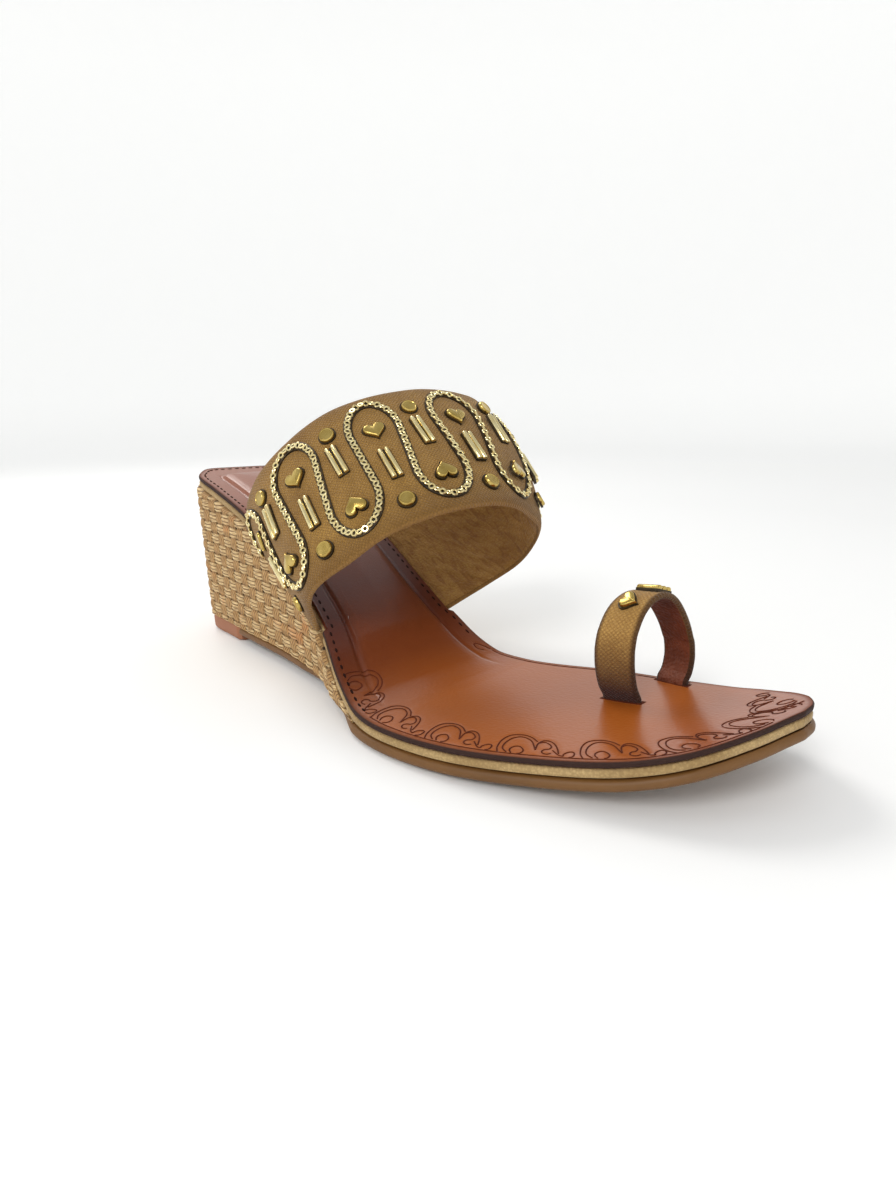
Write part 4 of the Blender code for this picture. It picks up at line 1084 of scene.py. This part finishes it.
# The lips of the two slits: the insole's leather where it is cut and turned up a little, dark with wax,
# round each leg of the toe loop.
LIP_ALONG, LIP_OUT, LIP_SUNK, LIP_THICK, LIP_ROUND = 0.0007, 0.0006, 0.0004, 0.00052, 0.0002
bm = bmesh.new()
for share, sign in ((0.0, -1), (1.0, 1)):
    ring = []
    for depth, wall in ((0, 0), (1, 0), (1, 1), (0, 1)):
        spot = loop_face(np.array(share), np.array(float(depth)))
        x = spot[0] + (LIP_ALONG if depth else -LIP_ALONG)
        y = spot[1] + sign * (-LOOP_WALL - LIP_OUT if wall else LIP_OUT)
        ring.append((float(x), float(y)))
    lip = bmesh.new()
    face = lip.faces.new([lip.verts.new((x, y, footbed(x) - LIP_SUNK)) for x, y in ring])
    raised = bmesh.ops.extrude_face_region(lip, geom=[face])
    verts = [v for v in raised["geom"] if isinstance(v, bmesh.types.BMVert)]
    bmesh.ops.translate(lip, vec=(0, 0, LIP_THICK), verts=verts)
    bmesh.ops.bevel(
        lip, geom=list(lip.edges), offset=LIP_ROUND, segments=2, profile=0.5, affect="EDGES", material=-1,
    )
    lip_mesh = shape_from(lip)
    bm.from_mesh(lip_mesh)
    bpy.data.meshes.remove(lip_mesh)
lips = piece("slit_lips", bm)
lips.data.materials.append(burnt_leather)


# The trim: castings in antique gold, which are hearts, round studs and pairs of half-round bars, each with
# prongs closed behind the nubuck. They stand in columns across the strap, every second one turned about,
# and a heart and three bars on the toe loop. A thin dark plate round the foot of each is painted shadow.
TRIM_COLUMNS, TRIM_START, TRIM_PITCH, TRIM_SLANT = 12, 0.0093, 0.0154, 0.056
METAL_THICK, SEAT, SETTLE_SLANT = 0.0013, 0.0002, 0.5
HEART_PLACE, BARS_PLACE, STUD_PLACE = 0.33, 0.59, 0.86
TURNED_HEART_PLACE, TURNED_STUD_PLACE = 0.26, 0.80
HEART_WIDTH, STUD_WIDTH = 0.0076, 0.0056
BAR_LENGTH, BAR_WIDTH, BAR_PITCH = 0.0128, 0.0018, 0.0023
BAR_HIGH, BAR_ROUND, BAR_LIFT = 1.25, 0.0003, 0.0003
LOOP_HEART_PLACE, LOOP_BARS_PLACE, LOOP_SEAT = 0.41, 0.53, 0.0003
LOOP_HEART_WIDTH, LOOP_BAR_LENGTH, LOOP_BAR_PITCH = 0.0056, 0.0080, 0.0021
STRAP_BARS, LOOP_BARS = (2, BAR_LENGTH, BAR_PITCH), (3, LOOP_BAR_LENGTH, LOOP_BAR_PITCH)


def trim_place(column, share):
    """Where a column of trim has its piece at this share of the way over the strap, as girth and v."""
    v = share if column % 2 == 0 else 1 - share
    return TRIM_START + column * TRIM_PITCH - TRIM_SLANT * (v - 0.5) * STRAP_DEPTH, v


def settled(girth, v, length, facing=1):
    """A place for a piece of this length on the strap: its origin, width, length and normal."""
    point, normal, along = (value[()] for value in strap_frame(girth, v))
    reach = np.linspace(-0.5, 0.5, 5) * length
    across = np.clip(v + reach / STRAP_DEPTH, 0, 1)
    spots = strap_frame(girth + SETTLE_SLANT * reach[:, None], across[None, :])[0]
    proud = float(((spots - point) @ normal).max())
    side = facing * along
    return point + (proud + SEAT) * normal, side, np.cross(normal, side), normal


def cast(outline, thickness, rows):
    """A flat casting drawn by its outline, through rows of (scale, share of the thickness)."""
    bm = bmesh.new()
    rings = []
    for scale, share in rows:
        rings.append([bm.verts.new((x * scale, y * scale, share * thickness)) for x, y in outline])
    skin(bm, rings, closed=True)
    bm.faces.new(rings[0][::-1])
    bm.faces.new(rings[-1])
    return shape_from(bm)


DOMED = ((1.0, 0.0), (1.0, 0.45), (0.96, 0.76), (0.90, 0.94), (0.82, 1.0))
RIMMED = ((1.0, 0.0), (1.0, 0.45), (0.95, 0.80), (0.87, 1.0), (0.79, 1.0), (0.74, 0.90))
SUNK = ((1.0, -0.7), (1.0, 0.25))
# The dark plates under the castings are painted shadow: their thickness, how far they show, their corners.
SHADOW_PLATE_THICK, SHADOW_PLATE_SHOWS, SHADOW_PLATE_CORNER = 0.0009, 0.00045, 0.0004


def heart_outline(width, steps=44):
    """The outline of a heart, by the usual curve, which is 32 units wide."""
    scale, outline = width / 32, []
    for i in range(steps):
        turn = math.tau * (i + 0.5) / steps
        lobes = 13 * math.cos(turn) - 5 * math.cos(2 * turn) - 2 * math.cos(3 * turn) - math.cos(4 * turn)
        outline.append((16 * scale * math.sin(turn) ** 3, scale * (lobes + 2)))
    return outline


def bar_shape(count, length, pitch):
    """Round bars side by side, a little higher than wide, with their ends rounded off."""
    bm = bmesh.new()
    for i in range(count):
        aside = Matrix.Translation(((i - (count - 1) / 2) * pitch, 0, 0))
        bar = bmesh.ops.create_cone(
            bm, cap_ends=True, segments=14, radius1=BAR_WIDTH / 2, radius2=BAR_WIDTH / 2, depth=length,
            matrix=aside @ Matrix.Rotation(math.pi / 2, 4, "X"),
        )
        bmesh.ops.scale(bm, vec=(1, 1, BAR_HIGH), verts=bar["verts"])
    caps = []
    for edge in bm.edges:
        y, other = (vert.co.y for vert in edge.verts)
        if abs(abs(y) - length / 2) < 1e-6 and abs(y - other) < 1e-6:
            caps.append(edge)
    bmesh.ops.bevel(bm, geom=caps, offset=BAR_ROUND, segments=2, profile=0.5, affect="EDGES", material=-1)
    bmesh.ops.translate(bm, vec=(0, 0, BAR_LIFT), verts=bm.verts)
    return shape_from(bm)


def bar_shadow_plate(count, length, pitch):
    """The outline of the dark plate under a set of bars, which is painted shadow round their foot."""
    wide = ((count - 1) * pitch + BAR_WIDTH) / 2 + SHADOW_PLATE_SHOWS / 2
    long = length / 2 + SHADOW_PLATE_SHOWS / 2
    quarter = [(wide, long - SHADOW_PLATE_CORNER), (wide - SHADOW_PLATE_CORNER, long)]
    return [
        *quarter, *[(-x, y) for x, y in quarter[::-1]], *[(-x, -y) for x, y in quarter],
        *[(x, -y) for x, y in quarter[::-1]],
    ]


hearts, studs, bars = [], [], []
for column in range(TRIM_COLUMNS):
    heart_place, stud_place, facing = HEART_PLACE, STUD_PLACE, 1
    if column % 2:
        heart_place, stud_place, facing = TURNED_HEART_PLACE, TURNED_STUD_PLACE, -1
    hearts.append(settled(*trim_place(column, heart_place), HEART_WIDTH, facing))
    studs.append(settled(*trim_place(column, stud_place), STUD_WIDTH, facing))
    bars.append(settled(*trim_place(column, BARS_PLACE), BAR_LENGTH, facing))


def gilt(name, dull, bright):
    """Gold-plated metal, duller where the plating is thin."""
    material, tree, shader, place = material_for(name, 0.2, metallic=1.0)
    height, tone = grained(tree, place, cells=2600.0, clouds=260.0)
    tree.links.new(mixed(tree, tone, dull, bright), shader.inputs["Base Color"])
    tree.links.new(spread(tree, tone, 0.0, 1.0, 0.28, 0.16), shader.inputs["Roughness"])
    bumped(tree, shader, height, strength=0.05, distance=0.0002)
    return material


gold_metal = gilt("antique gold", dyed(172, 144, 74), dyed(206, 180, 106))
pale_metal = gilt("pale gold", dyed(220, 198, 138), dyed(244, 230, 178))
# A near-black material for the plates under the castings and the ribbon under the chain: painted shadow.
shadow_dark, tree, shader, place = material_for("painted shadow dark", 0.45, metallic=0.6)
tree.links.new(
    mixed(tree, grained(tree, place, cells=2600.0, clouds=300.0)[1], dyed(38, 30, 20), dyed(70, 56, 34)),
    shader.inputs["Base Color"],
)


def trim(name, shape, frames, metal, nodes=()):
    """Pieces of one kind, set at their places, in the stead of these nodes."""
    item = scattered(name, shape, frames)
    item.data.materials.append(metal)
    if nodes:
        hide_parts(*nodes)
    return item


def numbered(word):
    return [f"{word}_{number:02d}" for number in range(1, TRIM_COLUMNS + 1)]


def circle(width):
    turns = np.linspace(0, math.tau, 33)[:-1]
    return [(width / 2 * math.cos(turn), width / 2 * math.sin(turn)) for turn in turns]


def loop_settled(share):
    """A place in the middle of the toe loop: its origin, width, length and normal."""
    point, normal, along = (value[()] for value in loop_frame(share, 0.5))
    return point + LOOP_SEAT * normal, along, np.cross(normal, along), normal


def cast_heart(name, width, frames, nodes):
    trim(name + "_cast", cast(heart_outline(width), METAL_THICK, DOMED), frames, gold_metal, nodes)


# A dark plate under a heart, a little wider than it, as painted shadow round its foot.
def heart_shadow_plate(name, width, frames):
    trim(name, cast(heart_outline(width + 2 * SHADOW_PLATE_SHOWS), SHADOW_PLATE_THICK, SUNK), frames, shadow_dark)


cast_heart("hearts", HEART_WIDTH, hearts, numbered("heart"))
# Each casting gets a dark plate under it, as painted shadow round its foot.
heart_shadow_plate("heart_shadow_plates", HEART_WIDTH, hearts)
trim("studs_cast", cast(circle(STUD_WIDTH), METAL_THICK, RIMMED), studs, gold_metal, numbered("stud"))
trim("stud_shadow_plates", cast(circle(STUD_WIDTH + 2 * SHADOW_PLATE_SHOWS), SHADOW_PLATE_THICK, SUNK), studs, shadow_dark)
trim("bars_cast", bar_shape(*STRAP_BARS), bars, pale_metal, numbered("bar_pair"))
trim("bar_shadow_plates", cast(bar_shadow_plate(*STRAP_BARS), SHADOW_PLATE_THICK, SUNK), bars, shadow_dark)

toe_heart, toe_bars = [loop_settled(LOOP_HEART_PLACE)], [loop_settled(LOOP_BARS_PLACE)]
cast_heart("toe_heart", LOOP_HEART_WIDTH, toe_heart, ["toe_heart"])
# The toe loop's heart and bars get dark plates too, as painted shadow.
heart_shadow_plate("toe_heart_shadow_plate", LOOP_HEART_WIDTH, toe_heart)
trim("toe_bars_cast", bar_shape(*LOOP_BARS), toe_bars, gold_metal, ["toe_bars"])
trim("toe_bars_shadow_plate", cast(bar_shadow_plate(*LOOP_BARS), SHADOW_PLATE_THICK, SUNK), toe_bars, shadow_dark)


# The chain: round links of pale gold laid flat in one winding line between the hearts, studs and bars,
# over a thin dark ribbon that is painted shadow under and inside the links.
CHAIN_SWING, CHAIN_MARGIN, CHAIN_TURN = 0.0087, 0.088, 0.30
LINK_PITCH, LINK_RADIUS, LINK_WIRE = 0.00195, 0.00086, 0.00036
LINK_TILT, LINK_LIFT = math.radians(17), 0.0007
# The dark ribbon under the chain is painted shadow: its half width and its ring of points.
SHADOW_RIBBON_HALF_WIDTH = 0.00150
SHADOW_RIBBON_RING = (
    # share of the half width, height
    (-1, -0.0002), (-1, 0.0003), (-0.5, 0.0006), (0.5, 0.0006), (1, 0.0003), (1, -0.0002),
)


def chain_route():
    """The chain's winding line as girth and v: a turn in each column and a straight run to the next."""
    route = []
    for column in range(TRIM_COLUMNS):
        for turn in np.linspace(-0.5, 0.5, 25):
            share = CHAIN_TURN - (CHAIN_TURN - CHAIN_MARGIN) * math.cos(turn * math.pi)
            girth, v = trim_place(column, share)
            route.append((girth + CHAIN_SWING * math.sin(turn * math.pi), v))
        if column < TRIM_COLUMNS - 1:
            start, stop = route[-1], trim_place(column + 1, CHAIN_TURN)
            run = (stop[0] - CHAIN_SWING - start[0], stop[1] - start[1])
            for share in np.linspace(0, 1, 13)[1:-1]:
                route.append((start[0] + share * run[0], start[1] + share * run[1]))
    return np.array(route)


route = chain_route()
centres, normals, _ = strap_frame(route[:, 0], route[:, 1])
reach = lengths_of(centres)
even = np.arange(0, reach[-1], LINK_PITCH)
centres = np.stack([np.interp(even, reach, centres[:, i]) for i in range(3)], axis=1)
normals = unit(np.stack([np.interp(even, reach, normals[:, i]) for i in range(3)], axis=1))
ahead = unit(np.gradient(centres, axis=0))
bm = bmesh.new()
ring = bmesh.ops.create_circle(bm, cap_ends=False, segments=7, radius=LINK_WIRE)
bmesh.ops.rotate(bm, cent=(0, 0, 0), matrix=Matrix.Rotation(math.pi / 2, 3, "X"), verts=bm.verts)
bmesh.ops.translate(bm, vec=(LINK_RADIUS, 0, 0), verts=bm.verts)
bmesh.ops.spin(
    bm, geom=list(bm.verts) + list(bm.edges), cent=(0, 0, 0), axis=(0, 0, 1), angle=math.tau, steps=14,
    use_merge=True,
)
bmesh.ops.remove_doubles(bm, verts=bm.verts, dist=1e-7)
links = []
for i, (centre, normal, forward) in enumerate(zip(centres, normals, ahead)):
    tilt = LINK_TILT if i % 2 else -LINK_TILT
    side = unit(np.cross(normal, forward))
    side_tilted = math.cos(tilt) * side + math.sin(tilt) * normal
    length = unit(np.cross(normal, side))
    origin = centre + normal * (LINK_LIFT + SEAT)
    links.append((origin, side_tilted, -length, np.cross(side_tilted, -length)))
trim("chain_links", shape_from(bm), links, pale_metal, ["chain"])

# The dark ribbon under the links: painted shadow round the chain and in the holes of its links.
bm = bmesh.new()
rows = []
for centre, normal, forward in zip(centres, normals, ahead):
    side = unit(np.cross(normal, forward))
    ring = []
    for share, up in SHADOW_RIBBON_RING:
        ring.append(bm.verts.new(centre + side * share * SHADOW_RIBBON_HALF_WIDTH + normal * (SEAT + up)))
    rows.append(ring)
skin(bm, rows, closed=True)
bm.faces.new(rows[0])
bm.faces.new(rows[-1][::-1])
shadow_ribbon = piece("chain_shadow_ribbon", bm)
shadow_ribbon.data.materials.append(shadow_dark)


# The studio: a pale paper sweep that rises all round and is lit evenly further out, a pale sky, one soft
# light from behind and one from the side.
SWEEP_FLAT, SWEEP_BEND, SWEEP_TOP, SWEEP_DROP = 1.6, 1.4, 2.4, 0.0002
bm = bmesh.new()
profile = [(0.0, 0.0), (SWEEP_FLAT / 2, 0.0), (SWEEP_FLAT, 0.0)]
for turn in np.linspace(0, math.pi / 2, 17)[1:]:
    profile.append((SWEEP_FLAT + SWEEP_BEND * math.sin(turn), SWEEP_BEND * (1 - math.cos(turn))))
profile.append((SWEEP_FLAT + SWEEP_BEND, SWEEP_TOP))
line = [bm.verts.new((x, 0, z - SWEEP_DROP)) for x, z in profile]
for first, second in zip(line, line[1:]):
    bm.edges.new((first, second))
bmesh.ops.spin(
    bm, geom=list(bm.verts) + list(bm.edges), cent=(0, 0, 0), axis=(0, 0, 1), angle=math.tau, steps=96,
    use_merge=True,
)
bmesh.ops.remove_doubles(bm, verts=bm.verts, dist=1e-5)
bmesh.ops.recalc_face_normals(bm, faces=bm.faces)
sweep_mesh = bpy.data.meshes.new("floor_sweep")
bm.to_mesh(sweep_mesh)
bm.free()
sweep_mesh.shade_smooth()
sweep = bpy.data.objects.new("floor_sweep", sweep_mesh)
bpy.context.collection.objects.link(sweep)
paper, tree, shader, place = material_for("pale paper", 0.85, Specular_IOR_Level=0.2)
shader.inputs["Base Color"].default_value = (0.93, 0.93, 0.925, 1.0)
away = node(tree, "VectorMath", {0: place}, operation="LENGTH").outputs["Value"]
lamps = mixed(tree, spread(tree, away, 0.5, 2.2), (0.0, 0.0, 0.0, 1.0), (0.22, 0.22, 0.215, 1.0))
tree.links.new(lamps, shader.inputs["Emission Color"])
shader.inputs["Emission Strength"].default_value = 1.0
sweep_mesh.materials.append(paper)

world = bpy.data.worlds.new("soft daylight")
bpy.context.scene.world = world
world.use_nodes = True
world.node_tree.nodes["Background"].inputs["Color"].default_value = (0.97, 0.985, 1.0, 1.0)
world.node_tree.nodes["Background"].inputs["Strength"].default_value = 0.60


def soft_light(name, spot, aim, size, power, colour):
    light = bpy.data.lights.new(name, "AREA")
    light.shape, light.size, light.energy, light.color = "DISK", size, power, colour
    item = bpy.data.objects.new(name, light)
    item.location = spot
    item.rotation_euler = (Vector(aim) - Vector(spot)).to_track_quat("-Z", "Y").to_euler()
    bpy.context.collection.objects.link(item)


soft_light("softbox behind", (-0.75, 0.05, 0.95), (0, 0, 0.03), 0.5, 4.5, (1.0, 0.98, 0.95))
soft_light("softbox side", (0.30, -0.85, 0.80), (0, 0, 0.04), 0.45, 4.6, (1.0, 0.99, 0.98))

# The camera, where the photograph was taken from. Its place is given from the middle of the heel.
CAMERA_PLACE, LENS, FILM = (0.30062, -0.15014, 0.09526), 20.38, 36.0
YAW, PITCH, ROLL = math.radians(47.150), math.radians(15.747), math.radians(-1.173)
camera_data = bpy.data.cameras.new("camera")
camera_data.lens, camera_data.sensor_width, camera_data.clip_start = LENS, FILM, 0.01
camera = bpy.data.objects.new("camera", camera_data)
back = Vector((math.sin(YAW) * math.cos(PITCH), -math.cos(YAW) * math.cos(PITCH), math.sin(PITCH)))
right = Vector((math.cos(YAW), math.sin(YAW), 0))
up = back.cross(right)
rolled_right = math.cos(ROLL) * right + math.sin(ROLL) * up
rolled_up = -math.sin(ROLL) * right + math.cos(ROLL) * up
placing = Matrix((rolled_right, rolled_up, back)).transposed().to_4x4()
placing.translation = Vector((CAMERA_PLACE[0] + TOE_SHIFT, CAMERA_PLACE[1] + SIDE_SHIFT, CAMERA_PLACE[2]))
camera.matrix_world = placing
bpy.context.collection.objects.link(camera)
bpy.context.scene.camera = camera
bpy.context.scene.view_settings.view_transform = "Standard"
